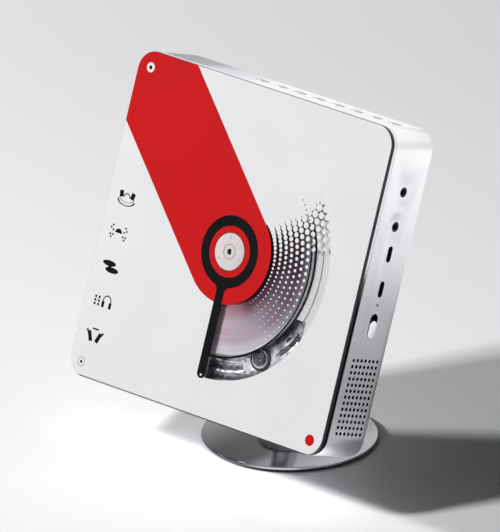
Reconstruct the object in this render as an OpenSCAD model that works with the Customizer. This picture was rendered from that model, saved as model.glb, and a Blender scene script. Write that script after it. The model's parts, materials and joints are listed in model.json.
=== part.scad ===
// Slim square disc player with a printed clear cover, on a round desk stand.
// The body frame has x to the right, y from the cover's face to the back and z up the face,
// with its origin at the centre of the face. reclined() sets that frame on the stand.

/* [Body] */
// Width and height of the square body
body_w = 194; // [190:1:240]
// Depth from the cover's face to the back
body_d = 38; // [38:0.5:50]
// Radius of the body's corners
corner_r = 12; // [11:0.5:16]
// Wall of the aluminium side frame
wall_t = 2; // [1.6:0.1:3]
// Thickness of the back cover
back_t = 2; // [1.6:0.1:3]
// Lean of the body from upright, in degrees
recline = 20; // [12:1:24]

/* [Cover] */
// Thickness of the clear cover
cover_t = 1.8; // [1.5:0.1:2]
// Thickness of the printed film on the cover's face
film_t = 0.1; // [0.05:0.05:0.2]
// Thickness of the soft seal under the cover's rim
seal_t = 1.15; // [0.9:0.05:1.4]
// Radius of the clear window about the spindle
window_r = 74; // [70:0.5:80]
// Half the width of the printed diagonal band
band_half = 30.5; // [26:0.5:34]
// Width of the printed bar below the spindle
bar_w = 6; // [4:0.5:10]
// Distance of the corner magnets from the body's sides
magnet_inset = 9.5; // [9:0.5:12]
// Radius of a corner magnet
magnet_r = 4; // [3:0.5:4.5]
// Height of a corner magnet
magnet_h = 3; // [2:0.5:4]

/* [Disc] */
// Radius of the disc
disc_r = 60; // [60:0.5:60]
// Thickness of the disc
disc_t = 1.2; // [1.2:0.1:1.2]
// Radius of the disc's centre hole
disc_hole_r = 7.5; // [7.5:0.1:7.5]
// Depth of the disc's front below the cover's face
disc_y = 2.7; // [2.6:0.05:2.9]
// Radius of the clamp puck
puck_r = 10.8; // [10:0.1:12]
// Gap between the disc's edge and the deck
disc_gap = 1.6; // [1.2:0.1:2.5]

/* [Deck] */
// Depth of the deck's front below the cover's face
deck_y = 3.3; // [3.2:0.05:3.4]
// Thickness of the deck
deck_t = 2; // [1.6:0.1:2.2]
// Radius of the cut that shows the mechanism
show_r = 75.5; // [75:0.5:78]
// Side of that cut, measured from the spindle
show_x = 63; // [61:0.5:66]
// Top of that cut, measured down from the spindle
show_z = 25; // [20:0.5:30]

/* [Mechanism] */
// Depth of the mechanism plate's front
plate_y = 8; // [7.8:0.1:8.4]
// Thickness of the mechanism plate
plate_t = 1.2; // [1:0.1:1.6]
// Radius of the mechanism plate
plate_r = 80; // [80:0.5:84]
// Distance of the plate's fixings from the spindle
fixing_r = 63.9; // [63:0.1:66]
// Radius of the spindle motor
spindle_motor_r = 12; // [10:0.5:12]
// Height of the spindle motor
spindle_motor_h = 8; // [6:0.5:9]
// Radius of a guide rod
rod_r = 1.5; // [1.2:0.1:1.6]
// Distance of the lens from the spindle at the inner stop
lens_inner = 24; // [24:0.5:25]
// Travel of the sled from the inner to the outer stop
sled_travel = 34; // [30:0.5:34]
// Module of the gear teeth
tooth_m = 0.4; // [0.4:0.05:0.4]
// Teeth of the small wheel that drives the rack
rack_teeth = 18; // [18:1:18]
// Teeth of the large wheel
wheel_teeth = 42; // [42:1:42]
// Teeth of the motor pinion
pinion_teeth = 14; // [14:1:14]
// Radius of the sled motor
sled_motor_r = 6.5; // [5:0.5:6.5]

/* [Ports] */
// Depth of the ports' centre line below the cover's face
port_y = 20.8; // [19:0.5:21]
// Radius of a jack hole in the side frame
jack_hole_r = 3; // [2.9:0.1:3.4]
// Radius of a jack's bore
jack_bore_r = 1.8; // [1.8:0.05:1.85]
// Length of a jack's bore
jack_bore_l = 13; // [11:0.5:14]
// Height of the upper jack above the body's centre
jack_z = 61.3; // [58:0.1:64]
// Distance between the two jacks
jack_pitch = 20.3; // [16:0.1:22]
// Height of the upper charging socket
usb_z = 24.9; // [22:0.1:25]
// Distance between the two charging sockets
usb_pitch = 20.6; // [16:0.1:21]
// Length and width of a socket's slot
usb_slot = [9.6, 3.9];
// Height of the light's pin hole, below the body's centre
led_z = -5; // [-6:0.1:-4]
// Radius of the light's pin hole
led_r = 0.9; // [0.7:0.1:1.2]
// Height of the power switch
switch_z = -17.5; // [-19:0.1:-17]
// Length and width of the power switch's slot
switch_slot = [14.6, 6.8];
// Travel of the power switch
switch_travel = 3.8; // [3:0.1:4]
// Height of the grille's top row
grille_z = -38; // [-40:0.1:-37]
// Distance between the grille's holes
grille_pitch = 3.6; // [3.2:0.05:3.6]
// Radius of a grille hole
grille_hole_r = 1.1; // [0.7:0.05:1.1]
// Rows of grille holes
grille_rows = 13; // [9:1:13]
// Columns of grille holes
grille_columns = 7; // [5:2:7]

/* [Buttons] */
// Number of buttons
button_count = 8; // [8:1:8]
// Distance between buttons
button_pitch = 14.4; // [13.6:0.1:15]
// Place of the first button from the body's centre
button_first = -22.6; // [-26:0.1:-20]
// Depth of the buttons below the cover's face
button_y = 22; // [20:0.5:23]
// Radius of a button
button_r = 3.9; // [3.4:0.1:4.2]

/* [Stand] */
// Radius of the base plate
base_r = 51.5; // [48:0.5:70]
// Thickness of the base plate
base_t = 3; // [2.5:0.1:6]
// Thickness of the pad under the base plate
pad_t = 1; // [0.8:0.1:2]
// Height of the body's lowest corner above the base plate
under_gap = 25; // [15:0.5:40]
// How far the face's centre is in front of the base's centre
face_ahead = 51.8; // [45:0.1:60]
// Height of the mount disc's centre from the body's centre
mount_z = -35; // [-38:0.5:-33]
// Radius of the mount disc
mount_r = 24; // [22:0.5:28]
// Thickness of the mount disc
mount_t = 4; // [3:0.5:6]
// Radius of the arm's collar on the base plate
collar_r = 19; // [15:0.5:24]
// Height of the arm's collar
collar_h = 7; // [5:0.5:10]
// Radius of the arm at its foot
arm_r = 8; // [6:0.5:9]

/* [Hidden] */
$fn = 64;

// Clearances
seat_gap = 0.05;
run_gap = 0.05;
slip_gap = 0.2;
cut = 1;
sliver = 0.001;
lap = 0.1;

// Body levels, as depths below the cover's face
half_w = body_w / 2;
cover_back_y = film_t + cover_t;
seal_y = cover_back_y + seat_gap;
frame_y = seal_y + seal_t;
deck_back_y = deck_y + deck_t;
back_y = body_d - back_t;
inner_half = half_w - wall_t;
magnet_at = half_w - magnet_inset;
catch_t = 0.6;

// Side frame
ledge_w = 3;
ledge_t = 1.5;
ledge_l = body_w - 44;
seal_w = 3.2;
seal_inset = 0.3;
print_inset = 0.2;
corner_boss_r = 4.5;
corner_boss_at = half_w - wall_t - 6.1;
corner_boss_y = 10;
dish_r = 7.3;
dish_floor_r = 6.3;
dish_h = 0.45;

// Fasteners
case_screw_r = 1.45;
case_screw_l = 8;
case_head_r = 2.8;
case_head_h = 1.5;
case_thread_gap = 1;
small_screw_r = 1;
small_head_r = 1.9;
small_head_h = 1.2;

// Spindle
turntable_y = disc_y + disc_t;
turntable_t = 1.8;
turntable_r = 15;
boss_r = disc_hole_r - 0.1;
boss_y = 1.9;
shaft_r = 1;
stem_r = 3.2;
stem_end_y = plate_y - 0.4;
puck_cavity_r = 7.9;
puck_cavity_y = 1.3;
puck_hole_r = 1.8;
puck_magnet_r = 6.6;
puck_magnet_t = 0.5;
cover_hole_r = puck_r + 0.4;
well_r = disc_r + disc_gap;
well_wall = 1.5;
deck_ring_r0 = 66;
deck_ring_r1 = 71;
deck_ring_h = 0.5;
magnet_cup_floor = 0.6;
magnet_cup_wall = 1.4;
grommet_room = 1;
well_end_y = plate_y - 0.3;
sled_notch_y = deck_back_y + 0.4;

// Plate fixings
plate_back_y = plate_y + plate_t;
fixing_turn = -57.9;
grommet_r = 7.3;
grommet_waist_r = 5;
grommet_lip = 0.8;
grommet_bore_r = 2.2;
shoulder_r = 2.1;
shoulder_head_r = 4.4;
shoulder_head_h = 1.5;
cross_slot = [4.4, 0.9];
cross_slot_h = 0.8;
pillar_r = 3.9;
pillar_y = plate_back_y + grommet_lip;
pillar_hole_l = 8;
thread_l = 6;
thread_r = 1.4;
thread_hole_r = 1.5;

// Sled
rod_y = 12.2;
main_rod_z = -18;
side_rod_z = 19;
sled_y = 7.6;
sled_back_y = 15.2;
sled_half_z = 14;
sled_before = 16;
sled_after = 10.5;
sled_x0 = -lens_inner - sled_before;
sled_x1 = -lens_inner + sled_after;
sleeve_l = 6;
sleeve_y = 9.8;
sleeve_z0 = main_rod_z - 3;
tab_t = 2;
tab_h = 6;
tab_back_y = 15;
tab_outer_x = sled_x0 - sled_travel - 0.5;
tab_inner_x = sled_x1 + 3.5;
slot_side = 2;
rod_over = 1;
slot_outer = 1;
slot_inner = 0.7;
stem_hole_r = stem_r + 1.6;
stem_collar_r = stem_r + 1.5;
tab_root = 0.5;

// Gears
rack_pitch_r = tooth_m * rack_teeth / 2;
wheel_pitch_r = tooth_m * wheel_teeth / 2;
pinion_pitch_r = tooth_m * pinion_teeth / 2;
addendum = 0.8 * tooth_m;
dedendum = 1.1 * tooth_m;
backlash = 0.08;
pressure = 20;
flank_steps = 4;
rack_z = sleeve_z0 - 3;
rack_y0 = 11.2;
rack_y1 = 14.2;
gear_x = -lens_inner - 14;
gear_z = rack_z - rack_pitch_r;
motor_z = gear_z - wheel_pitch_r - pinion_pitch_r;
sled_motor_back_y = 15.4;
wheel_y0 = 16;
wheel_y1 = 17.2;
small_wheel_y0 = 10.8;
post_r = 1;
post_end_y = 18.2;
post_cap_r = 1.8;
post_cap_t = 0.7;
motor_end_t = 1;
shaft_end_gap = 0.5;
motor_thread_l = 4;
motor_shaft_r = 0.5;
pinion_shaft_gap = 0.5;
motor_shaft_l = 4;
rack_tooth_pitch = PI * tooth_m;
lens_room = 5.3;
lens_room_y = 10.4;
side_arm_x0 = -lens_inner - 7;
side_arm_x1 = -lens_inner - 1;
side_arm_lip = 1.5;
holder_half = 4.5;
holder_y0 = 6.3;
holder_y1 = 9.6;
lens_rim_y = 7.1;
lens_rim_r = 2.7;
lens_ball_r = 2.8;
lens_ball_y = 8.4;
rack_front_teeth = 3;
rack_rear_teeth = ceil((sled_travel + 3) / rack_tooth_pitch);
limit_gap = 1;
limit_w = 4.5;
limit_y1 = 14;
limit_z0 = sled_half_z - 4;
limit_z1 = sled_half_z - 1.2;
limit_lever_w = 0.8;
limit_lever_y0 = 10.5;
limit_lever_y1 = 12;
limit_lever_h = 1;

// Boards
board_t = 1.6;
board_y = 28;
board_x0 = -28;
board_x1 = 48;
board_z0 = -28;
board_z1 = 56;
board_boss_r = 3;
board_edge = 4;
chip_x = 4;
chip_z = 16;
capacitor_x = 28;
capacitor_z = 12;
capacitor_pitch = 8;
capacitor_r = 3;
capacitor_h = 6;
board_screw_l = 6;
button_screw_l = 3.5;
blind_end = 2;
port_board_y = port_y + 2.5;
port_board_x0 = half_w - 23;
port_board_x1 = half_w - 3.5;
port_board_z0 = -26;
port_board_z1 = jack_z + 8;
battery_size = [75, 10, 35];
battery_x0 = -48;
battery_z0 = -84;

// Ribbon
ribbon_x = 4;
ribbon_w = 12;
ribbon_t = 0.3;
ribbon_z = 40;
ribbon_rise = 6;
ribbon_bend_y = 22;
// Jacks and sockets
jack_nose_x = half_w - 0.8;
jack_body_x1 = half_w - wall_t - 0.4;
jack_body_x0 = jack_nose_x - jack_bore_l - 1;
jack_body_half = [2.5, 3.2];
jack_nose_r = jack_hole_r - 0.3;
usb_shell = [8.9, 3.2];
usb_wall = 0.3;
usb_x0 = half_w - 9;
usb_x1 = half_w - 0.6;
usb_tongue = [6.6, 0.7];
usb_back_t = 1.5;
usb_tongue_in = 1.2;
usb_foot = [5, 6.8];
jack_nose_lap = 0.5;

// Light and power switch
led_l = 8;
led_foot = 2.4;
switch_body_half = [2.4, 6];
knob_stem_half = [1.5, 2];
knob_l = switch_slot[0] - switch_travel - 0.4;
knob_w = switch_slot[1] - 0.5;
knob_z = switch_z - switch_travel / 2;
knob_proud = 0.7;
knob_foot_x = half_w - wall_t - 0.3;
switch_body_x1 = half_w - wall_t - 2.2;
switch_body_x0 = switch_body_x1 - 7;

// Speaker
grille_mid_z = grille_z - (grille_rows - 1) * grille_pitch / 2;
grille_mid_y = port_y + 1.4;
speaker_x1 = half_w - wall_t - 0.3;
speaker_x0 = speaker_x1 - 8;
speaker_w = (grille_columns - 1) * grille_pitch + 3;
speaker_l = (grille_rows - 1) * grille_pitch + 5;
speaker_magnet_r = 8;
speaker_magnet_h = 5;
speaker_floor = 2;
speaker_rim = 3;
cone_t = 1.5;
cap_r = 5.5;
cap_h = 1.2;

// Buttons
button_hole_r = button_r + slip_gap;
button_proud = 0.3;
button_lip_r = button_r + 0.8;
button_lip_z = inner_half - 0.4;
button_lip_t = 0.8;
button_foot_r = 1.6;
button_foot_z = inner_half - 3;
tact_r = 2.4;
tact_z = button_foot_z - 0.7;
tact_h = 1.2;
button_board_z = tact_z - tact_h;
button_board_t = 1.2;
button_board_half_y = 6;
button_last = button_first + (button_count - 1) * button_pitch;
button_board_x0 = button_first - 5;
button_board_x1 = button_last + 5;
button_boss_r = 1.7;
button_boss_hole = 3;
button_boss_slots = [0.5, 3.5, 6.5];

// Wall hanging holes
keyhole_x = 60;
keyhole_z = 60;
keyhole_r = 4.5;
keyhole_neck_r = 2.2;
keyhole_rise = 9;

// Stand
base_z = pad_t;
base_top = pad_t + base_t;
face_z = base_top + under_gap + half_w * cos(recline) + body_d * sin(recline);
mount_pcd = 34;
mount_screw_r = 1.95;
mount_hole_r = 2.1;
mount_boss_r = 4;
mount_boss_y = back_y - 4;
mount_head_r = 3.6;
mount_head_h = 2.2;
mount_back_y = body_d + mount_t;
base_chamfer = 0.8;
base_facets = 128;
pad_inset = 3;
collar_chamfer = 1;
arm_foot = 2;
hex_r = 1.7;
hex_h = 1.4;
mount_thread_gap = 0.5;
knuckle_r = 9;
knuckle_y = mount_back_y + 5;
knuckle_world_y = -face_ahead + knuckle_y * cos(recline) + mount_z * sin(recline);
knuckle_world_z = face_z - knuckle_y * sin(recline) + mount_z * cos(recline);
arm_l = norm([knuckle_world_y, knuckle_world_z - base_top]);
arm_turn = atan2(-knuckle_world_y, knuckle_world_z - base_top);
arm_top_r = arm_r - 1;
foot_screw_r = 3;
foot_screw_l = 9;
foot_head_r = 5.5;
foot_head_h = 2;

// Places of the parts that come in fours and threes
corner_signs = [[-1, -1], [1, -1], [1, 1], [-1, 1]];
fixings = [for (i = [0:3])
    [fixing_r * cos(fixing_turn + 90 * i), fixing_r * sin(fixing_turn + 90 * i)]];
board_fixings = [
    [board_x0 + board_edge, board_z0 + board_edge],
    [board_x1 - board_edge, board_z0 + board_edge],
    [board_x1 - board_edge, board_z1 - board_edge],
    [board_x0 + board_edge, board_z1 - board_edge]];
port_fixing_z = [jack_z - jack_pitch / 2, usb_z - usb_pitch / 2];
motor_fixing_r = 9;
motor_fixing_turns = [-60, 0, 60];

// Sets the body frame on the stand
module reclined() {
    translate([0, -face_ahead, face_z])
        rotate([-recline, 0, 0])
            children();
}

// Extrudes a face outline from one depth to another
module slab(y0, y1) {
    translate([0, y1, 0])
        rotate([90, 0, 0])
            linear_extrude(y1 - y0)
                children();
}

// Round bar along the depth, at a place on the face
module peg(x, z, y0, y1, r) {
    translate([x, y0, z])
        rotate([-90, 0, 0])
            cylinder(h = y1 - y0, r = r);
}

// Cone along the depth, with a radius at each end
module taper(x, z, y0, y1, r0, r1) {
    translate([x, y0, z])
        rotate([-90, 0, 0])
            cylinder(h = y1 - y0, r1 = r0, r2 = r1);
}

// Round bar across the body, at a place on the side wall
module cross(y, z, x0, x1, r) {
    translate([x0, y, z])
        rotate([0, 90, 0])
            cylinder(h = x1 - x0, r = r);
}

// Extrudes a side wall outline, drawn in depth and height, from one width to another
module sideways(x0, x1) {
    translate([x0, 0, 0])
        rotate([90, 0, 90])
            linear_extrude(x1 - x0)
                children();
}

// Block between two corners
module block(low, high) {
    translate(low)
        cube(high - low);
}

// Square with round corners
module rounded(w, r) {
    square([w - 2 * r, w], center = true);
    square([w, w - 2 * r], center = true);
    for (s = corner_signs)
        translate([s[0] * (w / 2 - r), s[1] * (w / 2 - r)])
            circle(r);
}

// Upright slot with round ends, drawn in depth and height
module upright_slot(y, z, size) {
    translate([y, z]) {
        square([size[1], size[0] - size[1]], center = true);
        for (s = [-1, 1])
            translate([0, s * (size[0] - size[1]) / 2])
                circle(size[1] / 2);
    }
}

// Quarter and a half turn of a circle, from straight down to 45 degrees above the right
module window_wedge(r) {
    intersection() {
        circle(r);
        polygon([[0, 0], [0, -2 * r], [2 * r, -2 * r], [2 * r, 2 * r]]);
    }
}

// Cut in the deck that shows the mechanism, below and right of the disc
module show_cut(r) {
    intersection() {
        circle(r);
        translate([0, -2 * r])
            square([show_x, 2 * r - show_z]);
    }
}

// Polar angle that an involute has turned at a radius
function involute_turn(r, base) =
    let (t = sqrt(max(pow(r / base, 2) - 1, 0)))
    t * 180 / PI - atan(t);

// One side of a tooth, from root to tip
function tooth_side(teeth, side) =
    let (
        pitch_r = tooth_m * teeth / 2,
        base = pitch_r * cos(pressure),
        root = pitch_r - dedendum,
        tip = pitch_r + addendum,
        half = 90 / teeth - backlash / 4 / pitch_r * 180 / PI,
        start = max(base, root)
    )
    [for (i = [0:flank_steps])
        let (
            r = start + (tip - start) * i / flank_steps,
            a = side * (half + involute_turn(pitch_r, base) - involute_turn(r, base))
        )
        [r, a]];

// Outline of a gear with its first tooth at the angle given
module gear_outline(teeth, turn) {
    root = tooth_m * teeth / 2 - dedendum;
    low_side = tooth_side(teeth, -1);
    high_side = tooth_side(teeth, 1);
    polar = [for (i = [0:teeth - 1])
        let (mid = turn + 360 * i / teeth)
        each concat(
            [[root, mid + low_side[0][1]]],
            [for (p = low_side) [p[0], mid + p[1]]],
            [for (k = [flank_steps:-1:0]) [high_side[k][0], mid + high_side[k][1]]],
            [[root, mid + high_side[0][1]]])];
    polygon([for (p = polar) [p[0] * cos(p[1]), p[0] * sin(p[1])]]);
}

// Aluminium frame that makes the four side walls
module side_frame() {
    color("gainsboro")
        difference() {
            union() {
                slab(frame_y, body_d)
                    difference() {
                        rounded(body_w, corner_r);
                        rounded(body_w - 2 * wall_t, corner_r - wall_t);
                    }
                frame_ledges();
                frame_bosses();
            }
            frame_port_cuts();
            grille_cuts();
            button_cuts();
        }
}

// Ledges that the deck rests on
module frame_ledges() {
    for (i = [0:3])
        rotate([0, 90 * i, 0])
            block([-ledge_l / 2, deck_back_y, inner_half - ledge_w],
                [ledge_l / 2, deck_back_y + ledge_t, inner_half + wall_t / 2]);
}

// Bosses for the case screws and for the button board
module frame_bosses() {
    for (s = corner_signs)
        difference() {
            peg(s[0] * corner_boss_at, s[1] * corner_boss_at, corner_boss_y, back_y, corner_boss_r);
            peg(s[0] * corner_boss_at, s[1] * corner_boss_at,
                back_y - case_screw_l - cut, back_y + cut, case_screw_r + run_gap);
        }
    for (k = button_boss_slots)
        difference() {
            translate([button_first + k * button_pitch, button_y, button_board_z])
                cylinder(h = inner_half + wall_t / 2 - button_board_z, r = button_boss_r);
            translate([button_first + k * button_pitch, button_y, button_board_z - cut])
                cylinder(h = cut + button_boss_hole, r = small_screw_r + run_gap);
        }
}

// Holes for the jacks, the sockets, the light and the switch
module frame_port_cuts() {
    for (i = [0:1]) {
        cross(port_y, jack_z - i * jack_pitch, inner_half - cut, half_w + cut, jack_hole_r);
        translate([half_w, port_y, jack_z - i * jack_pitch])
            rotate([0, 90, 0])
                translate([0, 0, -dish_h])
                    cylinder(h = dish_h + sliver, r1 = dish_floor_r, r2 = dish_r);
        sideways(inner_half - cut, half_w + cut)
            upright_slot(port_y, usb_z - i * usb_pitch, usb_slot);
    }
    cross(port_y, led_z, inner_half - cut, half_w + cut, led_r);
    sideways(inner_half - cut, half_w + cut)
        upright_slot(port_y, switch_z, switch_slot);
}

// Holes in front of the speaker
module grille_cuts() {
    for (row = [0:grille_rows - 1])
        for (column = [0:grille_columns - 1])
            cross(grille_mid_y + (column - (grille_columns - 1) / 2) * grille_pitch,
                grille_z - row * grille_pitch, inner_half - cut, half_w + cut, grille_hole_r);
}

// Holes for the buttons in the top wall
module button_cuts() {
    for (i = [0:button_count - 1])
        translate([button_first + i * button_pitch, button_y, inner_half - cut])
            cylinder(h = wall_t + 2 * cut, r = button_hole_r);
}

// Back cover, with bosses for the boards and the mount, and two holes for wall screws
module back_cover() {
    color("whitesmoke")
        difference() {
            union() {
                slab(back_y, body_d)
                    rounded(body_w - 2 * wall_t - slip_gap, corner_r - wall_t - slip_gap / 2);
                for (p = board_fixings)
                    peg(p[0], p[1], board_y + board_t, back_y + back_t / 2, board_boss_r);
                for (i = [0:2])
                    mount_place(i)
                        peg(0, 0, mount_boss_y, back_y + back_t / 2, mount_boss_r);
            }
            for (p = board_fixings)
                peg(p[0], p[1], board_y, back_y, small_screw_r + run_gap);
            for (i = [0:2])
                mount_place(i)
                    peg(0, 0, mount_boss_y - cut, body_d + cut, mount_screw_r + run_gap);
            for (p = case_places()) {
                peg(p[0], p[1], back_y - cut, body_d + cut, case_screw_r + slip_gap / 2);
                taper(p[0], p[1], body_d - case_head_h, body_d + sliver,
                    case_screw_r + slip_gap / 2, case_head_r + slip_gap / 2);
            }
            for (s = [-1, 1])
                keyhole(s * keyhole_x);
        }
}

// Places of the eight case screws: four in the corners and four in the pillars
function case_places() =
    concat([for (s = corner_signs) s * corner_boss_at], fixings);

// Puts something at one of the mount disc's three screws
module mount_place(i) {
    turn = 90 + 120 * i;
    translate([mount_pcd / 2 * cos(turn), 0, mount_z + mount_pcd / 2 * sin(turn)])
        children();
}

// Round entry and narrow neck for a wall screw
module keyhole(x) {
    peg(x, keyhole_z, back_y - cut, body_d + cut, keyhole_r);
    peg(x, keyhole_z + keyhole_rise, back_y - cut, body_d + cut, keyhole_neck_r);
    block([x - keyhole_neck_r, back_y - cut, keyhole_z],
        [x + keyhole_neck_r, body_d + cut, keyhole_z + keyhole_rise]);
}

// White deck with the disc's well and the cut that shows the mechanism
module front_deck() {
    color("white")
        difference() {
            union() {
                slab(deck_y, deck_back_y)
                    rounded(2 * inner_half - slip_gap, corner_r - wall_t - slip_gap / 2);
                well_walls();
                for (s = corner_signs)
                    peg(s[0] * magnet_at, s[1] * magnet_at, deck_y + deck_t / 2,
                        deck_y + magnet_h + magnet_cup_floor, magnet_r + magnet_cup_wall);
            }
            slab(deck_y - cut, well_end_y + cut)
                circle(well_r);
            slab(deck_y - cut, well_end_y + cut)
                show_cut(show_r);
            slab(deck_y - cut, deck_y + deck_ring_h)
                difference() {
                    circle(deck_ring_r1);
                    circle(deck_ring_r0);
                }
            for (s = corner_signs)
                peg(s[0] * magnet_at, s[1] * magnet_at, deck_y - cut, deck_y + magnet_h, magnet_r + run_gap);
            for (p = fixings)
                peg(p[0], p[1], deck_back_y + sliver, well_end_y + cut, grommet_r + grommet_room);
            block([-well_r - well_wall - cut, sled_notch_y, -sled_half_z - 1],
                [-disc_r / 2, well_end_y + cut, sled_half_z + 1]);
        }
}

// Low walls behind the deck, around the disc and around the open cut
module well_walls() {
    slab(deck_y + deck_t / 2, well_end_y)
        difference() {
            circle(well_r + well_wall);
            circle(well_r);
        }
    slab(deck_y + deck_t / 2, well_end_y)
        intersection() {
            difference() {
                circle(show_r + well_wall);
                circle(show_r);
            }
            translate([-well_wall, -2 * show_r])
                square([show_x + 2 * well_wall, 2 * show_r - show_z]);
        }
}

// Soft black seal between the cover's rim and the side frame
module cover_seal() {
    color("black")
        slab(seal_y, frame_y)
            difference() {
                rounded(body_w - 2 * seal_inset, corner_r - seal_inset);
                rounded(body_w - 2 * seal_inset - 2 * seal_w, corner_r - seal_inset - seal_w);
            }
}

// Magnets in the deck's corners
module deck_magnets() {
    color("silver")
        for (s = corner_signs)
            peg(s[0] * magnet_at, s[1] * magnet_at, deck_y, deck_y + magnet_h, magnet_r);
}

// Pressed steel plate that carries the spindle, the sled and the gears
module mech_plate() {
    color("lightslategray")
        difference() {
            union() {
                slab(plate_y, plate_back_y)
                    circle(plate_r);
                rod_tabs();
            }
            slab(plate_y - cut, plate_back_y + cut)
                translate([sled_x0 - sled_travel - slot_outer, -sled_half_z - slot_side])
                    square([sled_x1 - sled_x0 + sled_travel + slot_outer + slot_inner,
                        2 * sled_half_z + 2 * slot_side]);
            peg(0, 0, plate_y - cut, plate_back_y + cut, stem_hole_r);
            for (p = fixings)
                peg(p[0], p[1], plate_y - cut, plate_back_y + cut, grommet_waist_r + run_gap);
            for (a = motor_fixing_turns)
                peg(motor_fixing_r * cos(a), motor_fixing_r * sin(a),
                    plate_y - cut, plate_back_y + cut, small_screw_r + run_gap);
            peg(gear_x, gear_z, plate_y - cut, plate_back_y + cut, post_r + run_gap);
            for (z = [main_rod_z, side_rod_z])
                cross(rod_y, z, tab_outer_x - 2 * tab_t, tab_inner_x + 2 * tab_t, rod_r + run_gap);
        }
}

// Four bent tabs that hold the ends of the guide rods
module rod_tabs() {
    for (x = [tab_outer_x - tab_t, tab_inner_x])
        for (z = [main_rod_z, side_rod_z])
            block([x, plate_back_y - tab_root, z - tab_h / 2], [x + tab_t, tab_back_y, z + tab_h / 2]);
}

// Soft rings in the plate's four fixing holes
module damper_grommets() {
    color("dimgray")
        for (p = fixings)
            difference() {
                union() {
                    peg(p[0], p[1], plate_y - grommet_lip, plate_y, grommet_r);
                    peg(p[0], p[1], plate_y - grommet_lip, plate_back_y + grommet_lip, grommet_waist_r);
                    peg(p[0], p[1], plate_back_y, plate_back_y + grommet_lip, grommet_r);
                }
                peg(p[0], p[1], plate_y - grommet_lip - cut, plate_back_y + grommet_lip + cut,
                    grommet_bore_r);
            }
}

// Shouldered screws that hold the plate to its pillars through the soft rings
module shoulder_screws() {
    head_y = plate_y - grommet_lip - shoulder_head_h;
    color("silver")
        for (p = fixings)
            difference() {
                union() {
                    peg(p[0], p[1], head_y, head_y + shoulder_head_h, shoulder_head_r);
                    peg(p[0], p[1], head_y + shoulder_head_h - lap, pillar_y, shoulder_r);
                    peg(p[0], p[1], pillar_y - lap, pillar_y + thread_l, thread_r);
                }
                for (a = [0, 90])
                    translate([p[0], head_y, p[1]])
                        rotate([0, a, 0])
                            cube([cross_slot[0], 2 * cross_slot_h, cross_slot[1]], center = true);
            }
}

// Hexagonal pillars between the back cover and the plate
module mech_pillars() {
    color("goldenrod")
        for (p = fixings)
            difference() {
                translate([p[0], pillar_y, p[1]])
                    rotate([-90, 0, 0])
                        cylinder(h = back_y - pillar_y, r = pillar_r, $fn = 6);
                peg(p[0], p[1], pillar_y - cut, pillar_y + pillar_hole_l, thread_hole_r);
                peg(p[0], p[1], back_y - case_screw_l - cut, back_y + cut, case_screw_r + run_gap);
            }
}

// Flat motor under the turntable
module spindle_motor() {
    color("darkgray")
        difference() {
            union() {
                peg(0, 0, plate_y, plate_back_y + tab_root, stem_collar_r);
                peg(0, 0, plate_back_y, plate_back_y + spindle_motor_h, spindle_motor_r);
            }
            peg(0, 0, plate_y - cut, plate_back_y + spindle_motor_h - motor_end_t, shaft_r + run_gap);
            for (a = motor_fixing_turns)
                peg(motor_fixing_r * cos(a), motor_fixing_r * sin(a),
                    plate_back_y - cut, plate_back_y + motor_thread_l, small_screw_r + run_gap);
        }
}

// Two steel rods that the sled slides on
module guide_rods() {
    color("silver")
        for (z = [main_rod_z, side_rod_z])
            cross(rod_y, z, tab_outer_x - tab_t - rod_over / 2, tab_inner_x + tab_t + rod_over, rod_r);
}

// Small motor that moves the sled
module sled_motor() {
    color("darkgray")
        difference() {
            peg(gear_x, motor_z, plate_back_y, sled_motor_back_y, sled_motor_r);
            peg(gear_x, motor_z, sled_motor_back_y - motor_shaft_l, sled_motor_back_y + cut,
                motor_shaft_r + run_gap);
        }
}

// Steel post that the large wheel turns on
module gear_post() {
    color("silver") {
        peg(gear_x, gear_z, plate_y, post_end_y, post_r);
        peg(gear_x, gear_z, post_end_y - post_cap_t, post_end_y, post_cap_r);
    }
}

// Switch that tells when the sled is at its inner stop
module limit_switch() {
    color("black") {
        block([sled_x1 + limit_gap, plate_back_y, limit_z0],
            [sled_x1 + limit_gap + limit_w, limit_y1, limit_z1]);
        translate([sled_x1 + limit_gap + lap - limit_lever_w, limit_lever_y0,
            (limit_z0 + limit_z1 - limit_lever_h) / 2])
            cube([limit_lever_w, limit_lever_y1 - limit_lever_y0, limit_lever_h]);
    }
}

// Main circuit board behind the mechanism
module main_board() {
    color("darkgreen")
        difference() {
            block([board_x0, board_y, board_z0], [board_x1, board_y + board_t, board_z1]);
            for (p = board_fixings)
                peg(p[0], p[1], board_y - cut, board_y + board_t + cut, small_screw_r + slip_gap);
        }
}

// Chips, capacitors and plugs on the main board
module board_chips() {
    color("black") {
        chip(chip_x, chip_z, [16, 16], 1.4);
        chip(chip_x + 18, chip_z - 21, [10, 10], 1.2);
        chip(chip_x - 23, chip_z + 20, [10, 12], 1.2);
        chip(chip_x + 22, chip_z + 31, [20, 6], 4);
        chip(chip_x - 20, chip_z - 29, [16, 6], 4);
    }
    color("gray")
        for (i = [0:3])
            peg(capacitor_x, capacitor_z + i * capacitor_pitch, board_y - capacitor_h, board_y, capacitor_r);
}

// One chip or plug on the main board, by its middle
module chip(x, z, size, height) {
    block([x - size[0] / 2, board_y - height, z - size[1] / 2], [x + size[0] / 2, board_y, z + size[1] / 2]);
}

// Battery on the back cover
module battery_pack() {
    color("steelblue")
        translate([battery_x0, back_y - battery_size[1], battery_z0])
            cube(battery_size);
}

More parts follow.
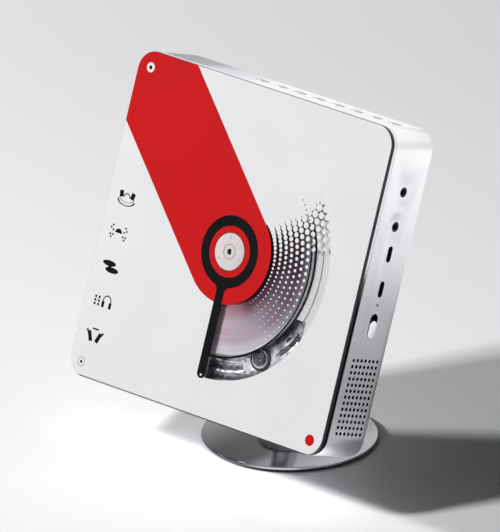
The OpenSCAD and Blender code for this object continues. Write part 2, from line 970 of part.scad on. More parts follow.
// Circuit board that carries the jacks, the sockets and the switch
module port_board() {
    color("darkgreen")
        difference() {
            block([port_board_x0, port_board_y, port_board_z0],
                [port_board_x1, port_board_y + board_t, port_board_z1]);
            for (z = port_fixing_z)
                peg(port_board_x0 + board_edge, z, port_board_y - cut, port_board_y + board_t + cut,
                    small_screw_r + slip_gap);
        }
    color("whitesmoke")
        for (z = port_fixing_z)
            difference() {
                peg(port_board_x0 + board_edge, z, port_board_y + board_t, back_y, board_boss_r);
                peg(port_board_x0 + board_edge, z, port_board_y + board_t - cut, back_y - blind_end,
                    small_screw_r + run_gap);
            }
}

// Two jacks with round bores
module audio_jacks() {
    color("black")
        for (i = [0:1])
            difference() {
                z = jack_z - i * jack_pitch;
                union() {
                    block([jack_body_x0, port_y - jack_body_half[0], z - jack_body_half[1]],
                        [jack_body_x1, port_y + jack_body_half[0], z + jack_body_half[1]]);
                    cross(port_y, z, jack_body_x1 - jack_nose_lap, jack_nose_x, jack_nose_r);
                }
                cross(port_y, z, jack_nose_x - jack_bore_l, jack_nose_x + cut, jack_bore_r);
            }
}

// Two charging and data sockets
module usb_sockets() {
    color("silver")
        for (i = [0:1]) {
            z = usb_z - i * usb_pitch;
            inner = [usb_shell[0] - 2 * usb_wall, usb_shell[1] - 2 * usb_wall];
            difference() {
                sideways(usb_x0, usb_x1)
                    upright_slot(port_y, z, usb_shell);
                sideways(usb_x0 + usb_back_t, usb_x1 + cut)
                    upright_slot(port_y, z, inner);
            }
            block([usb_x0 + usb_back_t - lap, port_y - usb_tongue[1] / 2, z - usb_tongue[0] / 2],
                [usb_x1 - usb_tongue_in, port_y + usb_tongue[1] / 2, z + usb_tongue[0] / 2]);
            block([usb_x0, port_y + usb_shell[1] / 2 - usb_wall, z - usb_foot[1] / 2],
                [usb_x0 + usb_foot[0], port_board_y, z + usb_foot[1] / 2]);
        }
}

// Clear rod that brings the light to its pin hole
module led_pipe() {
    color("white") {
        cross(port_y, led_z, half_w - led_l, half_w - slip_gap, led_r - slip_gap / 2);
        block([half_w - led_l + lap - led_foot, port_y - led_foot / 2, led_z - led_foot / 2],
            [half_w - led_l + lap, port_board_y, led_z + led_foot / 2]);
    }
}

// Fixed part of the power switch
module switch_body() {
    color("silver")
        block([switch_body_x0, port_y - switch_body_half[0], switch_z - switch_body_half[1]],
            [switch_body_x1, port_board_y, switch_z + switch_body_half[1]]);
}

// Frame of the speaker behind the grille
module speaker_basket() {
    color("black")
        difference() {
            block([speaker_x0, grille_mid_y - speaker_w / 2, grille_mid_z - speaker_l / 2],
                [speaker_x1, grille_mid_y + speaker_w / 2, grille_mid_z + speaker_l / 2]);
            sideways(speaker_x0 + speaker_floor, speaker_x1 + cut)
                upright_slot(grille_mid_y, grille_mid_z, [speaker_l - speaker_rim, speaker_w - speaker_rim]);
        }
}

// Moving skin of the speaker, at rest
module speaker_cone() {
    color("dimgray") {
        sideways(speaker_x0 + speaker_floor, speaker_x0 + speaker_floor + cone_t)
            upright_slot(grille_mid_y, grille_mid_z,
                [speaker_l - speaker_rim - slip_gap, speaker_w - speaker_rim - slip_gap]);
        cross(grille_mid_y, grille_mid_z, speaker_x0 + speaker_floor + cone_t - lap,
            speaker_x0 + speaker_floor + cone_t - lap + cap_h, cap_r);
    }
}

// Magnet behind the speaker
module speaker_magnet() {
    color("gray")
        cross(grille_mid_y, grille_mid_z, speaker_x0 - speaker_magnet_h, speaker_x0, speaker_magnet_r);
}

// Narrow circuit board under the buttons
module button_board() {
    color("darkgreen")
        difference() {
            block([button_board_x0, button_y - button_board_half_y, button_board_z - button_board_t],
                [button_board_x1, button_y + button_board_half_y, button_board_z]);
            for (k = button_boss_slots)
                translate([button_first + k * button_pitch, button_y, button_board_z - button_board_t - cut])
                    cylinder(h = button_board_t + 2 * cut, r = small_screw_r + slip_gap);
        }
}

// Small switches that the buttons press
module tact_switches() {
    color("silver")
        for (i = [0:button_count - 1])
            translate([button_first + i * button_pitch, button_y, button_board_z])
                cylinder(h = tact_h, r = tact_r);
}

// Small screw that points along the depth
module small_screw(x, z, y, l) {
    peg(x, z, y - small_head_h, y, small_head_r);
    peg(x, z, y - lap, y + l, small_screw_r);
}

// Small screws of the boards and of the spindle motor
module small_screws() {
    color("silver") {
        for (p = board_fixings)
            small_screw(p[0], p[1], board_y, board_screw_l);
        for (z = port_fixing_z)
            small_screw(port_board_x0 + board_edge, z, port_board_y, board_screw_l);
        for (a = motor_fixing_turns)
            small_screw(motor_fixing_r * cos(a), motor_fixing_r * sin(a), plate_y, motor_thread_l);
        for (k = button_boss_slots)
            translate([button_first + k * button_pitch, button_y, button_board_z - button_board_t])
                rotate([90, 0, 0])
                    small_screw(0, 0, 0, button_screw_l);
    }
}

// Countersunk screws of the back cover
module case_screws() {
    color("silver")
        for (p = case_places()) {
            taper(p[0], p[1], body_d - case_head_h, body_d, case_screw_r, case_head_r);
            peg(p[0], p[1], back_y - case_screw_l + case_thread_gap,
                body_d - case_head_h + sliver, case_screw_r);
        }
}

// Flat ribbon from the mechanism to the main board
module mech_ribbon() {
    low = ribbon_z - ribbon_t;
    high = ribbon_z + ribbon_rise;
    color("beige")
        translate([ribbon_x, 0, 0])
            rotate([90, 0, 90])
                linear_extrude(ribbon_w)
                    polygon([[plate_back_y, ribbon_z], [ribbon_bend_y, ribbon_z],
                        [ribbon_bend_y, high + ribbon_t],
                        [board_y, high + ribbon_t], [board_y, high], [ribbon_bend_y + ribbon_t, high],
                        [ribbon_bend_y + ribbon_t, low], [plate_back_y, low]]);
}

// Round polished plate that stands on the desk
module base_plate() {
    color("lightgray")
        difference() {
            union() {
                translate([0, 0, base_z + base_chamfer])
                    cylinder(h = base_t - base_chamfer, r = base_r, $fn = base_facets);
                translate([0, 0, base_z])
                    cylinder(h = base_chamfer, r1 = base_r - 2 * base_chamfer, r2 = base_r,
                        $fn = base_facets);
            }
            translate([0, 0, base_z - cut])
                cylinder(h = base_t + 2 * cut, r = foot_screw_r + slip_gap);
            translate([0, 0, base_z - sliver])
                cylinder(h = foot_head_h, r1 = foot_head_r + slip_gap, r2 = foot_screw_r + slip_gap);
        }
}

// Soft pad under the base plate
module base_pad() {
    color("dimgray")
        cylinder(h = pad_t, r = base_r - pad_inset, $fn = base_facets);
}

// Leaning arm with a round collar, which ends against the mount disc
module stand_arm() {
    color("silver")
        difference() {
            union() {
                translate([0, 0, base_top])
                    cylinder(h = collar_h - collar_chamfer, r = collar_r);
                translate([0, 0, base_top + collar_h - collar_chamfer])
                    cylinder(h = collar_chamfer, r1 = collar_r, r2 = collar_r - collar_chamfer);
                translate([0, 0, base_top])
                    rotate([arm_turn, 0, 0])
                        translate([0, 0, arm_foot])
                            cylinder(h = arm_l - arm_foot, r1 = arm_r, r2 = arm_top_r);
                translate([0, knuckle_world_y, knuckle_world_z])
                    sphere(knuckle_r);
            }
            translate([0, 0, base_top - cut])
                cylinder(h = foot_screw_l - base_t + 2 * cut, r = foot_screw_r + run_gap);
            reclined()
                block([-2 * mount_r, 0, mount_z - 2 * mount_r],
                    [2 * mount_r, mount_back_y, mount_z + 2 * mount_r]);
        }
}

// Round plate that joins the arm to the back cover
module mount_disc() {
    color("silver")
        difference() {
            peg(0, mount_z, body_d, mount_back_y, mount_r);
            for (i = [0:2])
                mount_place(i)
                    peg(0, 0, body_d - cut, mount_back_y + cut, mount_hole_r);
        }
}

// Screws of the mount disc
module mount_screws() {
    color("dimgray")
        for (i = [0:2])
            mount_place(i)
                difference() {
                    union() {
                        peg(0, 0, mount_back_y, mount_back_y + mount_head_h, mount_head_r);
                        peg(0, 0, mount_boss_y + mount_thread_gap, mount_back_y + lap, mount_screw_r);
                    }
                    translate([0, mount_back_y + mount_head_h + cut, 0])
                        rotate([90, 0, 0])
                            cylinder(h = cut + hex_h, r = hex_r, $fn = 6);
                }
}

// Countersunk screw that holds the arm to the base plate
module foot_screw() {
    color("dimgray")
        translate([0, 0, base_z]) {
            cylinder(h = foot_head_h, r1 = foot_head_r, r2 = foot_screw_r);
            cylinder(h = foot_screw_l, r = foot_screw_r);
        }
}

// Clear cover with a hole for the puck
module front_cover() {
    color([0.9, 0.95, 1, 0.4])
        slab(film_t, cover_back_y)
            difference() {
                rounded(body_w, corner_r);
                circle(cover_hole_r);
            }
}

// Printed film on the cover's face, open at the window
module printed_film() {
    color("white")
        slab(0, film_t)
            difference() {
                rounded(body_w - 2 * print_inset, corner_r - print_inset);
                difference() {
                    window_wedge(window_r);
                    circle(band_half);
                    translate([-bar_w / 2, -2 * window_r])
                        square([bar_w, 2 * window_r]);
                }
                circle(cover_hole_r);
            }
}

// Thin steel discs behind the cover's corners
module catch_plates() {
    color("silver")
        for (s = corner_signs)
            peg(s[0] * magnet_at, s[1] * magnet_at, cover_back_y, cover_back_y + catch_t, magnet_r);
}

// The disc itself
module disc() {
    color("lavender")
        slab(disc_y, disc_y + disc_t)
            difference() {
                circle(disc_r, $fn = base_facets);
                circle(disc_hole_r);
            }
}

// Turntable with a boss that centres the disc
module turntable() {
    color("dimgray")
        difference() {
            union() {
                peg(0, 0, turntable_y, turntable_y + turntable_t, turntable_r);
                peg(0, 0, boss_y, turntable_y + lap, boss_r);
                peg(0, 0, turntable_y, stem_end_y, stem_r);
            }
            peg(0, 0, boss_y - cut, stem_end_y + cut, shaft_r);
        }
}

// Steel shaft of the turntable
module spindle_shaft() {
    color("silver")
        peg(0, 0, boss_y, plate_back_y + spindle_motor_h - motor_end_t - shaft_end_gap, shaft_r);
}

// Puck that clamps the disc, flush with the cover's face
module clamp_puck() {
    color("ghostwhite")
        difference() {
            peg(0, 0, 0, disc_y, puck_r);
            peg(0, 0, puck_cavity_y, disc_y + cut, puck_cavity_r);
            peg(0, 0, -cut, disc_y, puck_hole_r);
        }
}

// Ring magnet inside the puck
module puck_magnet() {
    color("gray")
        difference() {
            peg(0, 0, puck_cavity_y, puck_cavity_y + puck_magnet_t, puck_magnet_r);
            peg(0, 0, puck_cavity_y - cut, puck_cavity_y + puck_magnet_t + cut, puck_hole_r);
        }
}

// Sled that carries the lens along the guide rods
module pickup_sled() {
    color("darkslategray")
        difference() {
            union() {
                block([sled_x0, sled_y, -sled_half_z], [sled_x1, sled_back_y, sled_half_z]);
                for (x = [sled_x0, sled_x1 - sleeve_l])
                    block([x, sleeve_y, sleeve_z0], [x + sleeve_l, sled_back_y, -sled_half_z + 1]);
                block([side_arm_x0, sleeve_y, sled_half_z - 1],
                    [side_arm_x1, sled_back_y, side_rod_z + rod_r + side_arm_lip]);
            }
            block([-lens_inner - lens_room, sled_y - cut, -lens_room],
                [-lens_inner + lens_room, lens_room_y, lens_room]);
            cross(rod_y, main_rod_z, sled_x0 - cut, sled_x1 + cut, rod_r + run_gap);
            block([side_arm_x0 - cut, rod_y - rod_r - slip_gap / 2, side_rod_z - rod_r - slip_gap],
                [side_arm_x1 + cut, rod_y + rod_r + slip_gap / 2, side_rod_z + rod_r + side_arm_lip + cut]);
        }
}

// Toothed rack under the sled's sleeves
module sled_rack() {
    root = rack_z + dedendum;
    tip = rack_z - addendum;
    half = rack_tooth_pitch / 4 - backlash / 4;
    rise = tan(pressure);
    color("ivory") {
        block([gear_x - rack_front_teeth * rack_tooth_pitch, rack_y0, root],
            [gear_x + rack_rear_teeth * rack_tooth_pitch, rack_y1, sleeve_z0]);
        slab(rack_y0, rack_y1)
            for (i = [-rack_front_teeth + 1:rack_rear_teeth - 1])
                translate([gear_x + i * rack_tooth_pitch, 0])
                    polygon([[-half - dedendum * rise, root + sliver], [-half - dedendum * rise, root],
                        [-half + addendum * rise, tip], [half - addendum * rise, tip],
                        [half + dedendum * rise, root], [half + dedendum * rise, root + lap]]);
    }
}

// Holder that hangs on four fine wires in the sled and carries the lens
module lens_holder() {
    color("black")
        difference() {
            block([-lens_inner - holder_half, holder_y0, -holder_half],
                [-lens_inner + holder_half, holder_y1, holder_half]);
            peg(-lens_inner, 0, holder_y0 - cut, lens_rim_y, lens_rim_r);
        }
}

// Lens that faces the disc
module objective_lens() {
    color("lightblue")
        difference() {
            translate([-lens_inner, lens_ball_y, 0])
                sphere(lens_ball_r);
            block([-lens_inner - holder_half, lens_rim_y, -holder_half],
                [-lens_inner + holder_half, sled_back_y, holder_half]);
        }
}

// Large and small wheel in one piece, between the motor and the rack
module drive_gear() {
    color("ivory")
        difference() {
            union() {
                slab(small_wheel_y0, wheel_y0 + lap)
                    translate([gear_x, gear_z])
                        gear_outline(rack_teeth, 90 + 180 / rack_teeth);
                slab(wheel_y0, wheel_y1)
                    translate([gear_x, gear_z])
                        gear_outline(wheel_teeth, -90);
            }
            peg(gear_x, gear_z, small_wheel_y0 - cut, wheel_y1 + cut, post_r + run_gap);
        }
}

// Pinion on the sled motor's shaft
module motor_pinion() {
    color("goldenrod") {
        slab(wheel_y0 - slip_gap, wheel_y1)
            translate([gear_x, motor_z])
                gear_outline(pinion_teeth, 90 + 180 / pinion_teeth);
        peg(gear_x, motor_z, sled_motor_back_y - motor_shaft_l + pinion_shaft_gap, wheel_y1, motor_shaft_r);
    }
}

// Sliding knob of the power switch
module switch_knob() {
    color("white") {
        sideways(knob_foot_x, half_w + knob_proud)
            upright_slot(port_y, knob_z, [knob_l, knob_w]);
        block([switch_body_x1 + slip_gap, port_y - knob_stem_half[0], knob_z - knob_stem_half[1]],
            [knob_foot_x + lap, port_y + knob_stem_half[0], knob_z + knob_stem_half[1]]);
    }
}

// Round push button with a lip inside the top wall
module top_button(i) {
    color("silver")
        translate([button_first + i * button_pitch, button_y, 0]) {
            translate([0, 0, button_lip_z - button_lip_t])
                cylinder(h = half_w + button_proud - button_lip_z + button_lip_t, r = button_r);
            translate([0, 0, button_lip_z - button_lip_t])
                cylinder(h = button_lip_t, r = button_lip_r);
            translate([0, 0, button_foot_z])
                cylinder(h = button_lip_z - button_foot_z, r = button_foot_r);
        }
}

reclined() side_frame();
reclined() back_cover();
reclined() front_deck();
reclined() cover_seal();
reclined() deck_magnets();
reclined() mech_plate();
reclined() damper_grommets();
reclined() shoulder_screws();
reclined() mech_pillars();
reclined() spindle_motor();
reclined() guide_rods();
reclined() sled_motor();
reclined() gear_post();
reclined() limit_switch();
reclined() main_board();
reclined() board_chips();
reclined() battery_pack();
reclined() port_board();
reclined() audio_jacks();
reclined() usb_sockets();
reclined() led_pipe();
reclined() switch_body();
reclined() speaker_basket();
reclined() speaker_cone();
reclined() speaker_magnet();
reclined() button_board();
reclined() tact_switches();
reclined() small_screws();
reclined() case_screws();
reclined() mech_ribbon();
base_plate();
base_pad();
stand_arm();
reclined() mount_disc();
reclined() mount_screws();
foot_screw();
reclined() front_cover();
reclined() printed_film();
reclined() catch_plates();
reclined() disc();
reclined() turntable();
reclined() spindle_shaft();
reclined() clamp_puck();
reclined() puck_magnet();
reclined() pickup_sled();
reclined() sled_rack();
reclined() lens_holder();
reclined() objective_lens();
reclined() drive_gear();
reclined() motor_pinion();
reclined() switch_knob();
reclined() top_button(0);  // source_button
reclined() top_button(1);  // stop_button
reclined() top_button(2);  // previous_button
reclined() top_button(3);  // play_button
reclined() top_button(4);  // next_button
reclined() top_button(5);  // volume_down_button
reclined() top_button(6);  // volume_up_button
reclined() top_button(7);  // repeat_button
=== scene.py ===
import json
from math import atan2, cos, hypot, pi, radians, sin, sqrt

import bpy
from mathutils import Matrix, Vector


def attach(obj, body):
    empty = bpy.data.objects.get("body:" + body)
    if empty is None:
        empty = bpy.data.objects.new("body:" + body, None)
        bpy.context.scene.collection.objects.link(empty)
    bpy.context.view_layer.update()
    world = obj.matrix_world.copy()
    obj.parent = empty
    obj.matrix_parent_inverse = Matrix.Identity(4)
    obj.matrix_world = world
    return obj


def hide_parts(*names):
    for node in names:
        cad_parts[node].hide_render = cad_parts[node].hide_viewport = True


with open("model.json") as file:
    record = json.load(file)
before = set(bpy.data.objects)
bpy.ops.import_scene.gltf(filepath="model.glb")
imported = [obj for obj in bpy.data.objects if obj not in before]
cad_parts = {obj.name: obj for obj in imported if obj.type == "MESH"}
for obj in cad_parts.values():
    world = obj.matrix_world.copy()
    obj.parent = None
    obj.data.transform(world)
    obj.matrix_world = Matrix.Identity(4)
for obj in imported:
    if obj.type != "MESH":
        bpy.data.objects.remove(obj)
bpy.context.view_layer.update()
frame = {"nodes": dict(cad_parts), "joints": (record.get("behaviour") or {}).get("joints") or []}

bpy.ops.object.select_all(action="DESELECT")

# Camera
# A long lens to the right of the player and a little above it, as the photograph was taken.
view_turn = radians(41.78)
view_rise = radians(22.45)
view_distance = 6.597
lens_length = 828.9
aim = Vector((0.01082, -0.04632, 0.12559))
sight = Vector((sin(view_turn) * cos(view_rise), -cos(view_turn) * cos(view_rise), sin(view_rise)))
bpy.ops.object.camera_add(location=aim + view_distance * sight, rotation=(pi / 2 - view_rise, 0, view_turn))
camera = bpy.context.object
camera.data.lens = lens_length
camera.data.sensor_fit = "HORIZONTAL"
camera.data.sensor_width = 36
camera.data.clip_end = 50
bpy.context.scene.camera = camera

# Base plate
# A heavy round plate of polished steel that stands on the desk and carries the player.
# It is turned from sheet, with its upper edge rounded and its lower edge chamfered.
on_desk = Matrix.Scale(0.001, 4)
base_radius = 51.5
base_low = 1
base_high = 4
base_edge = 0.7
base_chamfer = 1.4
# How near an edge or face has to lie to count as at a height, and as at a radius, in mm.
near = 0.01
beside = 0.1
smooth_below = radians(32)


def choose(piece):
    """Makes this the only piece that an operator acts on."""
    bpy.ops.object.select_all(action="DESELECT")
    piece.select_set(True)
    bpy.context.view_layer.objects.active = piece


def peg(name, radius, low, high, at=(0, 0), sides=64):
    """A round bar that stands upright on the bench."""
    bpy.ops.mesh.primitive_cylinder_add(
        vertices=sides, radius=radius, depth=high - low, location=(at[0], at[1], (low + high) / 2))
    bpy.ops.object.transform_apply(location=True, rotation=True, scale=True)
    piece = bpy.context.object
    piece.name = name
    return piece


def pick(kind, test):
    """Goes into edit mode with the edges or faces chosen that pass the test."""
    mesh = bpy.context.object.data
    bpy.ops.object.mode_set(mode="EDIT")
    bpy.ops.mesh.select_mode(type=kind)
    bpy.ops.mesh.select_all(action="DESELECT")
    bpy.ops.object.mode_set(mode="OBJECT")
    if kind == "FACE":
        for face in mesh.polygons:
            face.select = test(face.center, face.normal)
    else:
        for edge in mesh.edges:
            first, second = (mesh.vertices[i].co for i in edge.vertices)
            edge.select = test(first, second)
    bpy.ops.object.mode_set(mode="EDIT")


def round_edges(test, width, steps=3):
    """Rounds or chamfers the chosen edges."""
    pick("EDGE", test)
    bpy.ops.mesh.bevel(offset=width, segments=steps, affect="EDGES", clamp_overlap=True)
    bpy.ops.object.mode_set(mode="OBJECT")


def level(height):
    """True for an edge that lies at this height."""
    return lambda a, b: abs(a.z - height) < near and abs(b.z - height) < near


def seat(piece, finish, body, slot, *nodes, place=on_desk):
    """Puts a finished piece in its place on the object, with its finish and the CAD nodes that it stands for."""
    choose(piece)
    piece.matrix_world = place @ piece.matrix_world
    bpy.ops.object.transform_apply(location=True, rotation=True, scale=True)
    bpy.ops.object.shade_smooth_by_angle(angle=smooth_below)
    piece.data.materials.append(finish)
    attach(piece, body)
    if nodes:
        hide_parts(*nodes)
    return piece


def tint(red, green, blue):
    """A colour as the eye reads it, 0 to 255, as light."""
    def light(value):
        share = value / 255
        return share / 12.92 if share <= 0.04045 else ((share + 0.055) / 1.055) ** 2.4
    return (light(red), light(green), light(blue), 1)


def make_grain():
    """Cloudy specks of a given size, as colour, roughness and height."""
    group = bpy.data.node_groups.new("Grain", "ShaderNodeTree")
    for name, side, kind in (
            ("Colour", "INPUT", "Color"), ("Speck colour", "INPUT", "Color"), ("Speck size", "INPUT", "Float"),
            ("Stretch", "INPUT", "Vector"), ("Roughness", "INPUT", "Float"), ("Spread", "INPUT", "Float"),
            ("Colour", "OUTPUT", "Color"), ("Roughness", "OUTPUT", "Float"), ("Height", "OUTPUT", "Float")):
        group.interface.new_socket(name, in_out=side, socket_type="NodeSocket" + kind)
    add = group.nodes.new
    join = group.links.new
    given = add("NodeGroupInput")
    place = add("ShaderNodeTexCoord")
    density = add("ShaderNodeMath")
    density.operation = "DIVIDE"
    density.inputs[0].default_value = 1000
    sized = add("ShaderNodeVectorMath")
    sized.operation = "SCALE"
    drawn = add("ShaderNodeVectorMath")
    drawn.operation = "MULTIPLY"
    cloud = add("ShaderNodeTexNoise")
    cloud.inputs["Scale"].default_value = 1
    cloud.inputs["Detail"].default_value = 3
    contrast = add("ShaderNodeMapRange")
    contrast.inputs["From Min"].default_value = 0.35
    contrast.inputs["From Max"].default_value = 0.65
    mix = add("ShaderNodeMix")
    mix.data_type = "RGBA"
    rough = add("ShaderNodeMath")
    rough.operation = "MULTIPLY_ADD"
    put = add("NodeGroupOutput")
    join(given.outputs["Speck size"], density.inputs[1])
    join(place.outputs["Object"], sized.inputs[0])
    join(density.outputs[0], sized.inputs["Scale"])
    join(sized.outputs[0], drawn.inputs[0])
    join(given.outputs["Stretch"], drawn.inputs[1])
    join(drawn.outputs[0], cloud.inputs["Vector"])
    join(cloud.outputs[0], contrast.inputs["Value"])
    join(contrast.outputs[0], mix.inputs["Factor"])
    join(given.outputs["Colour"], mix.inputs[6])
    join(given.outputs["Speck colour"], mix.inputs[7])
    join(contrast.outputs[0], rough.inputs[0])
    join(given.outputs["Spread"], rough.inputs[1])
    join(given.outputs["Roughness"], rough.inputs[2])
    join(mix.outputs[2], put.inputs["Colour"])
    join(rough.outputs[0], put.inputs["Roughness"])
    join(contrast.outputs[0], put.inputs["Height"])
    return group


grain = make_grain()


def make_finish(name, colour, speck, size, rough, spread=0.1, relief=0.02, stretch=(1, 1, 1), **fixed):
    """A finish with its own grain: colours, speck size in mm, roughness, relief in mm, and fixed shader values."""
    finish = bpy.data.materials.new(name)
    finish.use_nodes = True
    tree = finish.node_tree
    shader = tree.nodes["Principled BSDF"]
    texture = tree.nodes.new("ShaderNodeGroup")
    texture.node_tree = grain
    texture.name = "Grain"
    texture.inputs["Colour"].default_value = colour
    texture.inputs["Speck colour"].default_value = speck
    texture.inputs["Speck size"].default_value = size
    texture.inputs["Stretch"].default_value = stretch
    texture.inputs["Roughness"].default_value = rough
    texture.inputs["Spread"].default_value = spread
    bump = tree.nodes.new("ShaderNodeBump")
    bump.inputs["Distance"].default_value = relief * 0.001
    tree.links.new(texture.outputs["Colour"], shader.inputs["Base Color"])
    tree.links.new(texture.outputs["Roughness"], shader.inputs["Roughness"])
    tree.links.new(texture.outputs["Height"], bump.inputs["Height"])
    tree.links.new(bump.outputs["Normal"], shader.inputs["Normal"])
    for socket, value in fixed.items():
        shader.inputs[socket.replace("_", " ")].default_value = value
    return finish


def ramp(tree, source, low, high, stops):
    """A colour along a measure, from a few stops given in the measure's own units."""
    spread = tree.nodes.new("ShaderNodeMapRange")
    spread.inputs["From Min"].default_value = low
    spread.inputs["From Max"].default_value = high
    colours = tree.nodes.new("ShaderNodeValToRGB")
    colours.color_ramp.interpolation = "EASE"
    points = colours.color_ramp.elements
    while len(points) < len(stops):
        points.new(0.5)
    for point, (at, colour) in zip(points, stops):
        point.position = (at - low) / (high - low)
    for point, (at, colour) in zip(points, stops):
        point.color = colour
    tree.links.new(source, spread.inputs["Value"])
    tree.links.new(spread.outputs[0], colours.inputs[0])
    return colours.outputs["Color"]


def shade_along(finish, source, low, high, stops):
    """Tones a finish along a measure, over its own grain."""
    tree = finish.node_tree
    toned = tree.nodes.new("ShaderNodeMix")
    toned.data_type = "RGBA"
    toned.blend_type = "MULTIPLY"
    toned.inputs["Factor"].default_value = 1
    shader = tree.nodes["Principled BSDF"]
    tree.links.new(shader.inputs["Base Color"].links[0].from_socket, toned.inputs[6])
    tree.links.new(ramp(tree, source, low, high, stops), toned.inputs[7])
    tree.links.new(toned.outputs[2], shader.inputs["Base Color"])


polished_steel = make_finish(
    "polished steel with painted reflection", tint(255, 255, 255), tint(244, 244, 247), 14, 0.08, 0.04, 0.002, Metallic=1)
tree = polished_steel.node_tree
desk_place = tree.nodes.new("ShaderNodeTexCoord")
desk_parts = tree.nodes.new("ShaderNodeSeparateXYZ")
tree.links.new(desk_place.outputs["Object"], desk_parts.inputs[0])
# Painted reflection: the plate is painted dark in its middle, mid grey on its left and lighter to its right, for the
# player's dark underside mirrored in it.
shade_along(polished_steel, desk_parts.outputs["X"], -0.06, 0.06, (
    (-0.05, tint(122, 122, 125)), (-0.01, tint(60, 60, 63)), (0.008, tint(70, 70, 73)), (0.022, tint(142, 141, 145)),
    (0.048, tint(172, 171, 175))))
# Painted shade: the plate's underside and its lower chamfer are painted near black.
underside_painted_shade = make_finish("shaded steel edge", tint(34, 34, 36), tint(46, 46, 48), 3, 0.4, 0.05, 0.002, Metallic=1)
base_plate = peg("base_plate_turned", base_radius, base_low, base_high, sides=160)
round_edges(level(base_high), base_edge, 4)
round_edges(level(base_low), base_chamfer, 1)
seat(base_plate, polished_steel, "player", "polished_steel", "base_plate")
base_plate.data.materials.append(underside_painted_shade)
for face in base_plate.data.polygons:
    if face.normal.z < -0.1:
        face.material_index = 1

# Pad
# A thin black rubber disc stuck under the base plate, with a rib round its rim that grips the desk.
pad_radius = 48.5
pad_high = 1
pad_rib_width = 3
pad_recess = 0.25
pad_edge = 0.3
pad_rubber = make_finish("pad rubber", tint(38, 38, 39), tint(54, 54, 55), 1.2, 0.8, 0.15, 0.05)
pad = peg("base_pad_moulded", pad_radius, 0, pad_high, sides=128)
pick("FACE", lambda middle, normal: normal.z < -0.9)
bpy.ops.mesh.inset(thickness=pad_rib_width)
bpy.ops.transform.translate(value=(0, 0, pad_recess))
bpy.ops.object.mode_set(mode="OBJECT")
round_edges(lambda a, b: level(0)(a, b) and hypot(a.x, a.y) > pad_radius - beside
            and hypot(b.x, b.y) > pad_radius - beside, pad_edge, 2)
seat(pad, pad_rubber, "player", "black_rubber", "base_pad")

# Arm, mount disc and their screws
# A turned steel collar and a leaning arm with a ball end hold a thick disc, which three socket screws
# fix to the player's back. One countersunk screw from below holds the arm to the plate.
sharp_above = radians(40)
brushed_steel = make_finish(
    "brushed steel", tint(204, 204, 207), tint(199, 199, 202), 0.4, 0.3, 0.06, 0.0005, (1, 1, 0.15), Metallic=1)
dark_screw = make_finish("black screw steel", tint(58, 58, 60), tint(82, 82, 84), 0.6, 0.34, 0.1, 0.01, Metallic=1)


def dress(node, finish, body, slot, edge):
    """A CAD solid's own shape, with its sharp edges broken and its round sides smoothed."""
    choose(frame["nodes"][node])
    bpy.ops.object.duplicate()
    piece = bpy.context.object
    piece.name = node + "_finished"
    piece.parent = None
    piece.data.materials.clear()
    bpy.ops.object.mode_set(mode="EDIT")
    bpy.ops.mesh.select_all(action="SELECT")
    bpy.ops.mesh.remove_doubles(threshold=0.000005)
    bpy.ops.mesh.dissolve_limited(angle_limit=radians(1))
    bpy.ops.object.mode_set(mode="OBJECT")
    bpy.ops.object.modifier_add(type="BEVEL")
    bevel = piece.modifiers[-1]
    bevel.width = edge * 0.001
    bevel.segments = 2
    bevel.limit_method = "ANGLE"
    bevel.angle_limit = sharp_above
    bpy.ops.object.modifier_apply(modifier=bevel.name)
    return seat(piece, finish, body, slot, node, place=Matrix.Identity(4))


def paint(finish, *nodes):
    """Gives CAD nodes that stay as they are their finish."""
    for node in nodes:
        solid = frame["nodes"][node]
        if not solid.material_slots:
            solid.data.materials.append(finish)
        for place in solid.material_slots:
            place.material = finish


dress("stand_arm", brushed_steel, "player", "polished_steel", 0.4)
dress("mount_disc", brushed_steel, "player", "polished_steel", 0.4)
dress("mount_screws", dark_screw, "player", "dark_steel", 0.15)
paint(dark_screw, "foot_screw")

# Side frame
# The four walls in one closed band of aluminium, bent from sheet and welded, blasted fine and anodised pale.
# Its front rim is chamfered and scored with one groove; ports, buttons and the grille are cut through it.
disc_depth = 2.7
disc_joint = next(joint for joint in frame["joints"] if joint["name"] == "disc_spin")
face_out = Vector(disc_joint["axis"])
face_centre = Vector(disc_joint["pos_m"]) + face_out * disc_depth * 0.001
face_tilt = atan2(-face_out.y, face_out.z)
# The player's own pieces are made lying on its back: x right, y up the face, z out of it, in mm from the face.
on_stand = Matrix.Translation(face_centre) @ Matrix.Rotation(face_tilt, 4, "X") @ Matrix.Scale(0.001, 4)
half_width = 97
corner_radius = 12
wall = 2
rim = -3.1
back = -38
rim_chamfer = 0.8
back_round = 0.5
groove_from = -5.1
groove_to = -4.65
groove_depth = 0.3
port_depth = -20.8
jack_places = (61.3, 41)
jack_hole = 3
dish_radius = 7.3
dish_floor = 6.3
dish_depth = 0.45
socket_places = (24.9, 4.3)
socket_slot = (9.6, 3.9)
light_place = -5
light_hole = 0.9
switch_place = -17.5
switch_slot = (14.6, 6.8)
grille_top = -38
grille_depth = -22.2
grille_pitch = 3.6
grille_hole = 1.1
grille_rows = 13
grille_columns = 7
button_first = -22.6
button_pitch = 14.4
button_depth = -22
button_radius = 3.9
button_gap = 0.2
button_bodies = (
    "source_button", "stop_button", "previous_button", "play_button",
    "next_button", "volume_down_button", "volume_up_button", "repeat_button")
through = 1


def block(name, low, high):
    """A block between two corners."""
    low = Vector(low)
    high = Vector(high)
    bpy.ops.mesh.primitive_cube_add(size=1, location=(low + high) / 2, scale=high - low)
    bpy.ops.object.transform_apply(location=True, rotation=True, scale=True)
    piece = bpy.context.object
    piece.name = name
    return piece


